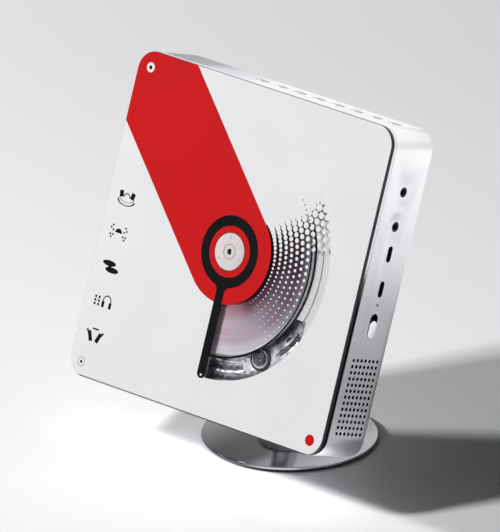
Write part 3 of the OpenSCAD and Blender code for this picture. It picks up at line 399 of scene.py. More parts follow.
def side_peg(name, radius, low, high, at, sides=48, end=None):
    """A round bar or cone that points to the right, at a place up the side and in depth."""
    bpy.ops.mesh.primitive_cone_add(
        vertices=sides, radius1=radius, radius2=radius if end is None else end, depth=high - low,
        location=((low + high) / 2, at[0], at[1]), rotation=(0, pi / 2, 0))
    bpy.ops.object.transform_apply(location=True, rotation=True, scale=True)
    piece = bpy.context.object
    piece.name = name
    return piece


def top_peg(name, radius, low, high, at, sides=48):
    """A round bar that points up the face, at a place across and in depth."""
    bpy.ops.mesh.primitive_cylinder_add(
        vertices=sides, radius=radius, depth=high - low,
        location=(at[0], (low + high) / 2, at[1]), rotation=(-pi / 2, 0, 0))
    bpy.ops.object.transform_apply(location=True, rotation=True, scale=True)
    piece = bpy.context.object
    piece.name = name
    return piece


def side_slot(name, size, low, high, at):
    """A bar with round ends that points to the right, long up the side."""
    piece = block(
        name, (low, at[0] - size[0] / 2, at[1] - size[1] / 2), (high, at[0] + size[0] / 2, at[1] + size[1] / 2))
    round_edges(lambda a, b: abs(a.x - b.x) > beside, size[1] / 2 - near / 2, 8)
    return piece


def unite(name, pieces):
    """Joins pieces into one object, each keeping its own shell."""
    bpy.ops.object.select_all(action="DESELECT")
    for piece in pieces:
        piece.select_set(True)
    bpy.context.view_layer.objects.active = pieces[0]
    bpy.ops.object.join()
    pieces[0].name = name
    return pieces[0]


def shape_with(piece, tool, how="DIFFERENCE"):
    """Cuts a piece with a tool, adds it, or keeps what they share."""
    choose(piece)
    bpy.ops.object.modifier_add(type="BOOLEAN")
    step = piece.modifiers[-1]
    step.operation = how
    step.solver = "EXACT"
    step.object = tool
    bpy.ops.object.modifier_apply(modifier=step.name)
    bpy.data.objects.remove(tool)
    return piece


def rounded_plate(name, half, corner, low, high):
    """A square plate with round corners."""
    piece = block(name, (-half, -half, low), (half, half, high))
    round_edges(lambda a, b: abs(a.z - b.z) > 0.001, corner, 14)
    return piece


def on_outside(point):
    """True for a point of the frame's outer skin, in plan."""
    across = max(abs(point.x) - half_width + corner_radius, 0)
    along = max(abs(point.y) - half_width + corner_radius, 0)
    return hypot(across, along) > corner_radius - wall / 2


def make_face_place():
    """Where a point lies on the face: mm across, up and out of it, and as radius and turn about the spindle."""
    group = bpy.data.node_groups.new("Face place", "ShaderNodeTree")
    for name in ("Across", "Up", "Out", "Radius", "Turn"):
        group.interface.new_socket(name, in_out="OUTPUT", socket_type="NodeSocketFloat")
    add = group.nodes.new
    join = group.links.new
    place = add("ShaderNodeTexCoord")
    lying = add("ShaderNodeMapping")
    lying.vector_type = "TEXTURE"
    lying.inputs["Location"].default_value = face_centre
    lying.inputs["Rotation"].default_value = (face_tilt, 0, 0)
    lying.inputs["Scale"].default_value = (0.001, 0.001, 0.001)
    parts = add("ShaderNodeSeparateXYZ")
    flat = add("ShaderNodeCombineXYZ")
    radius = add("ShaderNodeVectorMath")
    radius.operation = "LENGTH"
    turn = add("ShaderNodeMath")
    turn.operation = "ARCTAN2"
    turn_degrees = add("ShaderNodeMath")
    turn_degrees.operation = "DEGREES"
    put = add("NodeGroupOutput")
    join(place.outputs["Object"], lying.inputs["Vector"])
    join(lying.outputs["Vector"], parts.inputs[0])
    join(parts.outputs["X"], flat.inputs["X"])
    join(parts.outputs["Y"], flat.inputs["Y"])
    join(flat.outputs[0], radius.inputs[0])
    join(parts.outputs["Y"], turn.inputs[0])
    join(parts.outputs["X"], turn.inputs[1])
    join(turn.outputs[0], turn_degrees.inputs[0])
    join(parts.outputs["X"], put.inputs["Across"])
    join(parts.outputs["Y"], put.inputs["Up"])
    join(parts.outputs["Z"], put.inputs["Out"])
    join(radius.outputs["Value"], put.inputs["Radius"])
    join(turn_degrees.outputs[0], put.inputs["Turn"])
    return group


face_place = make_face_place()


def blend_colours(tree, share, first, second):
    """Mixes two colours by a share; each may be a colour or another node's output."""
    mix = tree.nodes.new("ShaderNodeMix")
    mix.data_type = "RGBA"
    for socket, value in ((mix.inputs["Factor"], share), (mix.inputs[6], first), (mix.inputs[7], second)):
        if isinstance(value, bpy.types.NodeSocket):
            tree.links.new(value, socket)
        else:
            socket.default_value = value
    return mix.outputs[2]


side_frame = rounded_plate("side_frame_cut", half_width, corner_radius, back, rim)
pick("FACE", lambda middle, normal: abs(normal.z) > 0.9)
bpy.ops.mesh.inset(thickness=wall)
bpy.ops.mesh.bridge_edge_loops()
for depth in (groove_from, groove_to):
    bpy.ops.mesh.select_all(action="SELECT")
    bpy.ops.mesh.bisect(plane_co=(0, 0, depth), plane_no=(0, 0, 1))
bpy.ops.object.mode_set(mode="OBJECT")
pick("FACE", lambda middle, normal: groove_from < middle.z < groove_to and abs(normal.z) < 0.1 and on_outside(middle))
bpy.ops.mesh.extrude_region_shrink_fatten(TRANSFORM_OT_shrink_fatten={"value": -groove_depth})
bpy.ops.object.mode_set(mode="OBJECT")
round_edges(lambda a, b: level(rim)(a, b) and on_outside(a) and on_outside(b), rim_chamfer, 1)
round_edges(lambda a, b: level(back)(a, b) and on_outside(a) and on_outside(b), back_round, 2)
inner_face = half_width - wall - through
outer_face = half_width + through
for place in jack_places:
    shape_with(side_frame, side_peg("dish", dish_floor, half_width - dish_depth, half_width, (place, port_depth),
                                    64, dish_radius))
    shape_with(side_frame, side_peg("hole", jack_hole, inner_face, outer_face, (place, port_depth)))
for place in socket_places:
    shape_with(side_frame, side_slot("slot", socket_slot, inner_face, outer_face, (place, port_depth)))
shape_with(side_frame, side_peg("pin_hole", light_hole, inner_face, outer_face, (light_place, port_depth), 24))
shape_with(side_frame, side_slot("slot", switch_slot, inner_face, outer_face, (switch_place, port_depth)))
grille_holes = [
    side_peg("hole", grille_hole, inner_face, outer_face,
             (grille_top - row * grille_pitch, grille_depth + (column - (grille_columns - 1) / 2) * grille_pitch), 16)
    for row in range(grille_rows) for column in range(grille_columns)]
shape_with(side_frame, unite("grille", grille_holes))
button_holes = [
    top_peg("hole", button_radius + button_gap, inner_face, outer_face,
            (button_first + number * button_pitch, button_depth))
    for number in range(len(button_bodies))]
shape_with(side_frame, unite("button_holes", button_holes))
anodised = make_finish(
    "pale anodised aluminium with painted reflection", tint(255, 255, 255), tint(244, 244, 247), 0.35, 0.34, 0.06, 0.004, Metallic=1)
rim_painted_reflection = make_finish(
    "rim aluminium with painted reflection", tint(255, 255, 255), tint(240, 240, 243), 0.35, 0.25, 0.06, 0.004, Metallic=1)
top_painted_reflection = make_finish(
    "top aluminium with painted reflection", tint(255, 255, 255), tint(244, 244, 247), 0.35, 0.3, 0.06, 0.004, Metallic=1)
# Painted shade: the bores of the holes in the right side are painted near black.
bore_painted_shade = make_finish("bores painted dark as shade", tint(14, 14, 15), tint(22, 22, 23), 0.4, 0.6, 0.1, 0.01,
                         Specular_IOR_Level=0.1)


def face_measure(finish, measure):
    """One of the measures of the face, ready for a finish."""
    where = finish.node_tree.nodes.new("ShaderNodeGroup")
    where.node_tree = face_place
    return where.outputs[measure]


# Painted reflection: the walls are painted darker low down and white near the top, for the shaded table and the bright
# room mirrored in them.
shade_along(anodised, face_measure(anodised, "Up"), -100, 100, (
    (-95, tint(204, 204, 208)), (-60, tint(174, 173, 177)), (-14, tint(200, 198, 202)), (28, tint(236, 234, 237)),
    (60, tint(246, 245, 248)), (85, (1, 1, 1, 1))))
# Painted reflection: the front rim and its chamfer are painted near black over the lower half of the face and light
# above it.
shade_along(rim_painted_reflection, face_measure(rim_painted_reflection, "Up"), -100, 100, (
    (-8, tint(10, 10, 11)), (6, tint(84, 84, 87)), (18, tint(226, 226, 229)), (60, tint(236, 236, 239))))
# Painted reflection: the top wall is painted dark at its left end, fading to white before its middle.
shade_along(top_painted_reflection, face_measure(top_painted_reflection, "Across"), -100, 100, (
    (-90, tint(104, 103, 107)), (-66, tint(128, 127, 131)), (-44, tint(214, 213, 217)), (-10, (1, 1, 1, 1))))
seat(side_frame, anodised, "player", "anodised", "side_frame", place=on_stand)
for finish in (rim_painted_reflection, bore_painted_shade, top_painted_reflection):
    side_frame.data.materials.append(finish)
lying = on_stand.inverted()
turned_back = lying.to_3x3().normalized()
# The front rim, the bores of the right side's holes and the top wall get their painted reflection and painted shade
# here.
for face in side_frame.data.polygons:
    middle = lying @ face.center
    facing = turned_back @ face.normal
    if middle.z > groove_to - near and on_outside(middle):
        face.material_index = 1
    elif (half_width - wall < middle.x < half_width - 0.02 and abs(facing.x) < 0.1
          and back + wall < middle.z < rim - wall):
        face.material_index = 2
    elif facing.y > 0.6 and middle.y > half_width - wall / 2:
        face.material_index = 3

# Back cover and its screws
# A white moulded sheet that closes the case from behind, with two keyholes for a wall and four countersunk screws.
shell_white = make_finish("white moulded shell", tint(233, 233, 232), tint(226, 226, 225), 0.9, 0.42, 0.08, 0.02)
screw_steel = make_finish("plated screw steel", tint(176, 176, 180), tint(150, 150, 155), 0.6, 0.28, 0.1, 0.01,
                          Metallic=1)
paint(shell_white, "back_cover")
paint(screw_steel, "case_screws", "small_screws")

# Boards, battery and wiring
# Green glass fibre boards with their black chips, a wrapped battery cell and a thin ribbon to the mechanism.
board_green = make_finish("board mask", tint(26, 86, 52), tint(18, 66, 40), 2.5, 0.35, 0.1, 0.02)
chip_black = make_finish("chip resin", tint(34, 34, 36), tint(46, 46, 48), 0.3, 0.5, 0.1, 0.01)
cell_wrap = make_finish("cell wrap", tint(74, 104, 138), tint(64, 92, 126), 5, 0.3, 0.08, 0.01)
ribbon = make_finish("ribbon film", tint(214, 200, 160), tint(202, 186, 146), 0.8, 0.35, 0.05, 0.01, (1, 0.1, 1))
paint(board_green, "main_board", "port_board", "button_board")
paint(chip_black, "board_chips", "tact_switches")
paint(cell_wrap, "battery_pack")
paint(ribbon, "mech_ribbon")

# Ports on the right side
# Two black jacks behind dished rings, two charging sockets in dark steel shells, and a light's clear pin.
jack_black = make_finish("jack resin", tint(22, 22, 23), tint(30, 30, 31), 0.4, 0.4, 0.1, 0.01)
socket_dark = make_finish("dark socket steel", tint(52, 52, 55), tint(38, 38, 40), 0.5, 0.35, 0.1, 0.01, Metallic=1)
light_pin = make_finish("light pin", tint(214, 216, 220), tint(200, 203, 208), 0.5, 0.15, 0.05, 0.01)
paint(jack_black, "audio_jacks")
paint(socket_dark, "usb_sockets")
paint(light_pin, "led_pipe")
paint(screw_steel, "switch_body")

# Power switch knob
# A white moulded slider in a slot, crowned so that a finger finds it, with a foot that drives the switch behind.
knob_rest = 1.9
knob_middle = switch_place - knob_rest
knob_size = (10.4, 5.8)
knob_proud = 0.7
knob_inner = 94.7
knob_round = 0.5
foot_inner = 93
foot_size = (4, 3)
knob_white = make_finish("pearl knob", tint(255, 255, 255), tint(246, 246, 248), 0.8, 0.3, 0.06, 0.005, Metallic=1)
switch_knob = side_slot(
    "switch_knob_crowned", knob_size, knob_inner, half_width + knob_proud, (knob_middle, port_depth))
round_edges(lambda a, b: a.x > half_width and b.x > half_width and abs(a.x - b.x) < near, knob_round, 3)
knob_foot = block(
    "foot", (foot_inner, knob_middle - foot_size[0] / 2, port_depth - foot_size[1] / 2),
    (knob_inner + 0.1, knob_middle + foot_size[0] / 2, port_depth + foot_size[1] / 2))
switch_knob = unite("switch_knob_crowned", [switch_knob, knob_foot])
seat(switch_knob, knob_white, "power_knob", "knob_white", "switch_knob", place=on_stand)

# Speaker
# A small oval speaker behind the grille: black basket, felted paper cone and a plated magnet.
basket_grey = make_finish("speaker basket", tint(60, 60, 62), tint(72, 72, 74), 0.8, 0.5, 0.1, 0.02)
cone_felt = make_finish("cone felt", tint(20, 20, 21), tint(34, 34, 35), 0.7, 0.9, 0.1, 0.1)
magnet_plated = make_finish("plated magnet", tint(188, 188, 192), tint(170, 170, 175), 1.5, 0.25, 0.1, 0.01, Metallic=1)
paint(basket_grey, "speaker_basket")
paint(cone_felt, "speaker_cone")
paint(magnet_plated, "speaker_magnet")

# Buttons on the top side
# Eight turned aluminium keys in close holes; each has a lip inside the wall and a foot on its own small switch.
button_proud = 0.3
button_round = 0.35
button_dish = 0.15
lip_radius = 4.7
lip_from = 94.6
lip_thick = 0.8
foot_radius = 1.6
foot_from = 92
button_silver = make_finish("turned key aluminium", tint(196, 196, 200), tint(180, 180, 185), 0.5, 0.3, 0.08, 0.008,
                            Metallic=1)


def copy_of(pattern, name, at):
    """A copy of a piece with its own mesh, moved to a place."""
    choose(pattern)
    bpy.ops.object.duplicate()
    piece = bpy.context.object
    piece.name = name
    piece.location = at
    return piece


key = top_peg("key", button_radius, lip_from, half_width + button_proud, (0, button_depth))
pick("FACE", lambda middle, normal: normal.y > 0.9)
bpy.ops.mesh.inset(thickness=button_radius / 3)
bpy.ops.transform.translate(value=(0, -button_dish, 0))
bpy.ops.object.mode_set(mode="OBJECT")
round_edges(lambda a, b: min(a.y, b.y) > half_width + button_proud - near
            and hypot(a.x, a.z - button_depth) > button_radius - beside
            and hypot(b.x, b.z - button_depth) > button_radius - beside, button_round, 3)
lip = top_peg("lip", lip_radius, lip_from - lip_thick, lip_from, (0, button_depth))
stem = top_peg("foot", foot_radius, foot_from, lip_from, (0, button_depth), 24)
key = unite("key", [key, lip, stem])
for number, body in enumerate(button_bodies):
    seat(copy_of(key, body + "_turned", (button_first + number * button_pitch, 0, 0)), button_silver, body,
         "button_silver", body, place=on_stand)
bpy.data.objects.remove(key)

# Mechanism
# A zinc plated steel plate on four rubber rings and brass pillars carries the spindle motor, the sled and its drive.
# Its pressed ribs, one fixing and the dark catch lever of the disc well show in the window, below right of the disc.
plate_front = -8
rib_low = plate_front - 0.2
rib_round = 0.3
fixing_radius = 63.9
fixing_turn = -57.9
washer_radius = 5.6
washer_hole = 2.3
washer_front = -6.85
washer_back = -7.2
washers = 4


def turned(name, inner, outer, low, high, sides=128):
    """A ring about the spindle, its section spun round."""
    bpy.ops.mesh.primitive_plane_add(
        size=1, location=((inner + outer) / 2, 0, (low + high) / 2), rotation=(pi / 2, 0, 0))
    piece = bpy.context.object
    piece.name = name
    piece.scale = (outer - inner, high - low, 1)
    bpy.ops.object.transform_apply(location=True, rotation=True, scale=True)
    bpy.ops.object.mode_set(mode="EDIT")
    bpy.ops.mesh.select_mode(type="VERT")
    bpy.ops.mesh.select_all(action="SELECT")
    bpy.ops.mesh.delete(type="ONLY_FACE")
    bpy.ops.mesh.select_all(action="SELECT")
    bpy.ops.mesh.spin(steps=sides, angle=2 * pi, center=(0, 0, 0), axis=(0, 0, 1))
    bpy.ops.mesh.select_all(action="SELECT")
    bpy.ops.mesh.remove_doubles(threshold=0.001)
    bpy.ops.mesh.normals_make_consistent(inside=False)
    bpy.ops.object.mode_set(mode="OBJECT")
    return piece


def turned_part(name, inner, outer, low, high, start, end):
    """The part of a ring between two turns about the spindle, less than half a turn apart."""
    piece = turned(name, inner, outer, low, high, 160)
    bpy.ops.object.mode_set(mode="EDIT")
    for turn, inside in ((start, True), (end, False)):
        bpy.ops.mesh.select_all(action="SELECT")
        bpy.ops.mesh.bisect(
            plane_co=(0, 0, 0), plane_no=(-sin(radians(turn)), cos(radians(turn)), 0), use_fill=True,
            clear_inner=inside, clear_outer=not inside)
    bpy.ops.object.mode_set(mode="OBJECT")
    return piece


plate_zinc = make_finish("zinc plated sheet", tint(204, 205, 210), tint(96, 97, 102), 5, 0.28, 0.2, 0.3,
                         (1, 0.35, 1), Metallic=1)
ring_rubber = make_finish("grey ring rubber", tint(24, 24, 25), tint(40, 40, 42), 1.0, 0.5, 0.15, 0.03)
bright_steel = make_finish("bright steel", tint(214, 214, 218), tint(196, 196, 201), 0.8, 0.18, 0.08, 0.005, Metallic=1)
head_steel = make_finish("screw head steel", tint(92, 92, 95), tint(60, 60, 63), 1.2, 0.22, 0.12, 0.02,
                         Metallic=1)
# Painted shade: the troughs between the pressed ribs are painted dark.
trough_painted_shade = make_finish("shaded pressing", tint(66, 66, 70), tint(104, 104, 109), 2.2, 0.3, 0.15, 0.1, Metallic=1)
lever_black = make_finish("catch lever steel", tint(30, 30, 32), tint(48, 48, 50), 1.0, 0.35, 0.1, 0.02, Metallic=0.5)
brass = make_finish("turned brass", tint(214, 184, 118), tint(196, 164, 98), 0.6, 0.24, 0.1, 0.01, Metallic=1)
motor_can = make_finish("drawn motor can", tint(178, 178, 182), tint(160, 160, 165), 1.2, 0.3, 0.1, 0.01, Metallic=1)
gear_ivory = make_finish("gear resin", tint(226, 221, 204), tint(216, 210, 192), 0.5, 0.45, 0.1, 0.01)
sled_black = make_finish("sled resin", tint(36, 36, 38), tint(50, 50, 52), 0.6, 0.45, 0.1, 0.02)
lens_glass = make_finish("coated lens", tint(120, 150, 205), tint(140, 118, 200), 1.5, 0.05, 0.02, 0.0,
                         Coat_Weight=1)
paint(plate_zinc, "mech_plate")
paint(bright_steel, "guide_rods", "gear_post", "spindle_shaft")
paint(brass, "mech_pillars")
paint(motor_can, "spindle_motor", "sled_motor")
paint(gear_ivory, "drive_gear", "motor_pinion", "sled_rack")
paint(sled_black, "pickup_sled", "lens_holder", "limit_switch", "turntable")
paint(lens_glass, "objective_lens")
dress("damper_grommets", ring_rubber, "player", "grey_rubber", 0.3)
dress("shoulder_screws", head_steel, "player", "bright_steel", 0.35)

washer = turned("washer", washer_hole, washer_radius, washer_back, washer_front, 64)
for number in range(washers):
    turn = radians(fixing_turn) + 2 * pi * number / washers
    seat(copy_of(washer, "mech_washer_%d" % (number + 1), (fixing_radius * cos(turn), fixing_radius * sin(turn), 0)),
         bright_steel, "player", "bright_steel", place=on_stand)
bpy.data.objects.remove(washer)

# Each rib runs round the spindle: inner and outer radius, height above the plate, first and last turn, finish.
ribs = (
    ("inner_rib", 62.2, 63.6, 0.8, -89, -68, plate_zinc),
    ("trough", 64.4, 67.6, 0.1, -89, -70, trough_painted_shade),
    ("middle_rib", 68.2, 69.8, 1.2, -86, -69, plate_zinc),
    ("outer_trough", 70.4, 73.4, 0.1, -89, -64, trough_painted_shade),
    ("side_rib", 64.8, 66.4, 1.4, -48, -31, plate_zinc),
    ("side_trough", 67.0, 68.4, 0.1, -46, -30, trough_painted_shade),
    ("side_flange", 69.4, 73.6, 1.8, -44, -33, plate_zinc))
for name, inner, outer, height, start, end, finish in ribs:
    rib = turned_part("mech_" + name, inner, outer, rib_low, plate_front + height, start, end)
    round_edges(level(plate_front + height), min(rib_round, height / 2), 2)
    seat(rib, finish, "player", "plate_steel", place=on_stand)

lever_low = -7.6
lever_high = -5.9
lever_corners = ((63.6, -41), (65.4, -26.5))
lever_turn = -14
lever_at = (-9.5, 12.5)
heel_high = -6.8
heel_corners = ((44, -49), (54, -43.5))
heel_turn = 8
lever = block("mech_catch_lever", (*lever_corners[0], lever_low), (*lever_corners[1], lever_high))
round_edges(lambda a, b: abs(a.z - b.z) > beside, 0.8, 4)
round_edges(level(lever_high), 0.25, 2)
lever.rotation_euler = (0, 0, radians(lever_turn))
lever.location = (*lever_at, 0)
seat(lever, lever_black, "player", "dark_steel", place=on_stand)
heel = block("mech_catch_heel", (*heel_corners[0], lever_low), (*heel_corners[1], heel_high))
round_edges(lambda a, b: abs(a.z - b.z) > beside, 2.4, 5)
round_edges(level(heel_high), 0.2, 2)
heel.rotation_euler = (0, 0, radians(heel_turn))
seat(heel, lever_black, "player", "dark_steel", place=on_stand)

# Deck
# A white moulded tray that surrounds the disc, with a shallow ring round the well and a magnet in each corner.
deck_white = make_finish("deck resin", tint(236, 236, 237), tint(230, 230, 232), 1.2, 0.4, 0.06, 0.01)
paint(deck_white, "front_deck")
paint(magnet_plated, "deck_magnets", "puck_magnet", "catch_plates")

# Seal
# A soft black strip under the cover's rim, all the way round.
seal_rubber = make_finish("seal rubber", tint(20, 20, 21), tint(30, 30, 31), 0.9, 0.5, 0.15, 0.02,
                          Specular_IOR_Level=0.25)
paint(seal_rubber, "cover_seal")

# Disc
# A pressed polycarbonate disc with a silver lilac metal layer, with painted sheen: violet bands towards the right.
# Its hub stays clear, with a stacking rib, and its rim has no metal.
disc_radius = 60
disc_hole = 7.5
disc_back = -3.9
disc_round = 0.3
rib_radius = 17
rib_width = 1
rib_high = 0.1
disc_silver_painted_sheen = make_finish("disc metal layer with painted sheen", tint(210, 208, 218), tint(200, 198, 210), 30, 0.2, 0.05, 0.0,
                          Metallic=0.65, Specular_IOR_Level=0.2)
tree = disc_silver_painted_sheen.node_tree
where = tree.nodes.new("ShaderNodeGroup")
where.node_tree = face_place
# Painted sheen and reflection: by its turn about the spindle the disc is painted silver on the left and dark violet to
# the right, in an inner, a middle and an outer band.
inner_painted_sheen = ramp(tree, where.outputs["Turn"], -180, 180, (
    (-180, tint(205, 203, 212)), (-120, tint(186, 160, 170)), (-88, tint(160, 124, 136)), (-66, tint(150, 110, 122)),
    (-52, tint(106, 62, 78)), (-34, tint(84, 52, 66)), (0, tint(54, 26, 40)), (60, tint(56, 28, 40)),
    (90, tint(205, 203, 212))))
middle_painted_sheen = ramp(tree, where.outputs["Turn"], -180, 180, (
    (-180, tint(205, 203, 212)), (-120, tint(190, 184, 191)), (-88, tint(162, 152, 159)), (-60, tint(150, 137, 147)),
    (-46, tint(146, 132, 145)), (-30, tint(128, 112, 124)), (-14, tint(104, 86, 98)), (4, tint(74, 52, 65)),
    (60, tint(72, 48, 62))))
outer_painted_sheen = ramp(tree, where.outputs["Turn"], -180, 180, (
    (-180, tint(205, 203, 212)), (-88, tint(180, 175, 181)), (-54, tint(166, 163, 171)), (-30, tint(150, 146, 153)),
    (-10, tint(138, 130, 138)), (60, tint(136, 126, 134))))
outward = ramp(tree, where.outputs["Radius"], 30, 60, (
    (33, (0, 0, 0, 1)), (42, (1, 1, 1, 1)), (48, (1, 1, 1, 1))))
to_rim = ramp(tree, where.outputs["Radius"], 30, 60, ((51, (0, 0, 0, 1)), (56, (1, 1, 1, 1))))
painted_sheen_sweep = blend_colours(tree, to_rim, blend_colours(tree, outward, inner_painted_sheen, middle_painted_sheen), outer_painted_sheen)
# Painted sheen: pink arcs at a few radii near the bottom of the disc.
pink_sheen_reach = ramp(tree, where.outputs["Turn"], -180, 180, (
    (-110, (0, 0, 0, 1)), (-92, (0.8, 0.8, 0.8, 1)), (-78, (0.8, 0.8, 0.8, 1)), (-62, (0, 0, 0, 1))))
pink_sheen_rings = ramp(tree, where.outputs["Radius"], 40, 60, (
    (43.6, (0, 0, 0, 1)), (44.6, (1, 1, 1, 1)), (45.5, (0.1, 0.1, 0.1, 1)), (46.1, (0.1, 0.1, 0.1, 1)),
    (46.9, (1, 1, 1, 1)), (47.8, (0, 0, 0, 1)), (49.6, (0, 0, 0, 1)), (50.4, (0.8, 0.8, 0.8, 1)), (51.2, (0, 0, 0, 1))))
pink_sheen_share = tree.nodes.new("ShaderNodeMath")
pink_sheen_share.operation = "MULTIPLY"
tree.links.new(pink_sheen_reach, pink_sheen_share.inputs[0])
tree.links.new(pink_sheen_rings, pink_sheen_share.inputs[1])
sheen_streaked = blend_colours(tree, pink_sheen_share.outputs[0], painted_sheen_sweep, tint(164, 114, 138))
clear_rim = ramp(tree, where.outputs["Radius"], 0, 61, (
    (0, (1, 1, 1, 1)), (19, (1, 1, 1, 1)), (20, (0, 0, 0, 1)), (57.5, (0, 0, 0, 1)), (58.5, (1, 1, 1, 1))))
finished = blend_colours(tree, clear_rim, sheen_streaked, tint(186, 184, 190))
tree.links.new(finished, tree.nodes["Principled BSDF"].inputs["Base Color"])
disc = turned("disc_pressed", disc_hole, disc_radius, disc_back, -disc_depth, 160)
round_edges(lambda a, b: hypot(a.x, a.y) > disc_radius - beside and hypot(b.x, b.y) > disc_radius - beside
            and abs(a.z - b.z) < near, disc_round, 2)
disc = unite("disc_pressed", [
    disc, turned("rib", rib_radius, rib_radius + rib_width, disc_back - rib_high, disc_back + rib_high, 96)])
seat(disc, disc_silver_painted_sheen, "spinner", "disc_clear", "disc", place=on_stand)

# Clamp puck
# A white moulded button with a magnet under it, which the fingers set on the spindle to hold the disc.
# A ring and three short marks are cut in its top, about a dark centre hole; their cut floors are painted grey as shade.
puck_radius = 10.8
puck_hole = 1.8
puck_round = 0.5
mark_depth = 0.15
mark_width = 0.35
mark_inner = 7
mark_outer = 9.8
mark_turns = (100, 220, 340)
ring_inner = 3.9
ring_outer = 4.5
cavity_radius = 7.9
cavity_from = -1.3
puck_white = make_finish("puck resin", tint(226, 217, 216), tint(220, 211, 210), 1.4, 0.35, 0.06, 0.01,
                         Specular_IOR_Level=0.3)
tree = puck_white.node_tree
where = tree.nodes.new("ShaderNodeGroup")
where.node_tree = face_place
# Painted shade: the floors of the cut ring and marks, deeper than about 0.1 mm, are painted grey.
groove_painted_shade = ramp(tree, where.outputs["Out"], -1, 0, (
    (-0.16, (1, 1, 1, 1)), (-0.12, (1, 1, 1, 1)), (-0.1, (0, 0, 0, 1))))
within = ramp(tree, where.outputs["Radius"], 0, 12, ((9.7, (1, 1, 1, 1)), (10, (0, 0, 0, 1))))
groove_shade_share = tree.nodes.new("ShaderNodeMath")
groove_shade_share.operation = "MULTIPLY"
tree.links.new(groove_painted_shade, groove_shade_share.inputs[0])
tree.links.new(within, groove_shade_share.inputs[1])
puck_groove_shaded = blend_colours(tree, groove_shade_share.outputs[0], tree.nodes["Grain"].outputs["Colour"], tint(176, 170, 174))
tree.links.new(puck_groove_shaded, tree.nodes["Principled BSDF"].inputs["Base Color"])
puck = turned("clamp_puck_moulded", puck_hole, puck_radius, -disc_depth, 0, 96)
round_edges(lambda a, b: level(0)(a, b) and hypot(a.x, a.y) > puck_radius - beside, puck_round, 4)
shape_with(puck, peg("cavity", cavity_radius, -disc_depth - through, cavity_from))
shape_with(puck, turned("ring_mark", ring_inner, ring_outer, -mark_depth, through, 96))
for turn in mark_turns:
    mark = block("mark", (mark_inner, -mark_width / 2, -mark_depth), (mark_outer, mark_width / 2, through))
    mark.rotation_euler = (0, 0, radians(turn))
    shape_with(puck, mark)
seat(puck, puck_white, "spinner", "puck_white", "clamp_puck", place=on_stand)

# Cover
# A clear acrylic sheet over the whole face, its rim inked black; steel discs behind its corners meet the magnets.
cover_back = -1.9
cover_front = -0.1
cover_hole = 11.2
cover_edge = 0.2
lower_edge_from = -92
lower_edge_round = 0.8
cover_clear = make_finish("clear acrylic", tint(70, 70, 74), tint(62, 62, 67), 20, 0.06, 0.02, 0.0,
                          Specular_IOR_Level=0.12, Alpha=0.05)
edge_black = make_finish("black rim ink", tint(16, 16, 17), tint(24, 24, 25), 0.8, 0.3, 0.08, 0.01,
                         Specular_IOR_Level=0.3)
cover = rounded_plate("front_cover_cut", half_width, corner_radius, cover_back, cover_front)
shape_with(cover, peg("hole", cover_hole, cover_back - through, through, sides=96))
round_edges(lambda a, b: (level(cover_front)(a, b) or level(cover_back)(a, b)) and on_outside(a) and on_outside(b),
            cover_edge, 2)
round_edges(lambda a, b: level(cover_front)(a, b) and max(a.y, b.y) < lower_edge_from, lower_edge_round, 3)
seat(cover, cover_clear, "cover", "clear_plastic", "front_cover", place=on_stand)
cover.data.materials.append(edge_black)
for face in cover.data.polygons:
    if abs(face.normal.dot(face_out)) < 0.985:
        face.material_index = 1

# Printing on the cover
# Ink layers on the cover's face: a white field open over part of the disc, a red band from the upper left corner
# with a round end about the spindle, a black ring with a long bar, and small marks.
ink_from = -0.08
red_from = -0.07
black_from = -0.06
mark_from = -0.055
white_level = -0.05
red_level = -0.03
black_level = -0.015
top_level = 0
print_inset = 0.2
window_radius = 74
band_half = 30.5
band_length = 160
band_turn = radians(135)
bar_half = 3
bar_end = -72
ring_black_inner = 14.9
ring_black_outer = 21
fillet = 4
white_ink = make_finish("white ink", tint(240, 240, 241), tint(236, 236, 238), 40, 0.3, 0.04, 0.0,
                        Specular_IOR_Level=0.35)
red_ink = make_finish("red ink", tint(208, 20, 24), tint(202, 18, 22), 40, 0.3, 0.04, 0.0, Specular_IOR_Level=0.1)
black_ink_and_painted_shade = make_finish("black ink and painted shade", tint(17, 16, 18), tint(20, 19, 21), 20, 0.35, 0.05, 0.0,
                        Specular_IOR_Level=0.03)
grey_ink = make_finish("grey ink", tint(196, 196, 200), tint(190, 190, 194), 20, 0.35, 0.05, 0.0,
                       Specular_IOR_Level=0.2)


def printed(piece, ink, *nodes):
    """Seats one layer on the cover: ink for the print, and black for the painted shade round the disc."""
    return seat(piece, ink, "cover", "print_white", *nodes, place=on_stand)


field = rounded_plate("print_white_field", half_width - print_inset, corner_radius - print_inset, ink_from, white_level)
shape_with(field, turned_part("window", band_half - 2, window_radius, -through, through, -90, 45))
shape_with(field, peg("hub", band_half - 1, -through, through, sides=128))
shape_with(field, block(
    "trim", (-half_width, -half_width, -through), (half_width, lower_edge_round - half_width, through)))
printed(field, white_ink, "printed_film")

bpy.ops.mesh.primitive_cube_add(
    size=1, location=(cos(band_turn) * band_length / 2, sin(band_turn) * band_length / 2, (red_from + red_level) / 2),
    rotation=(0, 0, band_turn), scale=(band_length, 2 * band_half, red_level - red_from))
bpy.ops.object.transform_apply(location=True, rotation=True, scale=True)
band = bpy.context.object
band.name = "print_red_band"
shape_with(band, peg("end", band_half, red_from, red_level, sides=160), "UNION")
shape_with(band, rounded_plate("trim", half_width - print_inset, corner_radius - print_inset, -through, through),
           "INTERSECT")
shape_with(band, peg("hub", cover_hole, -through, through, sides=96))
printed(band, red_ink)

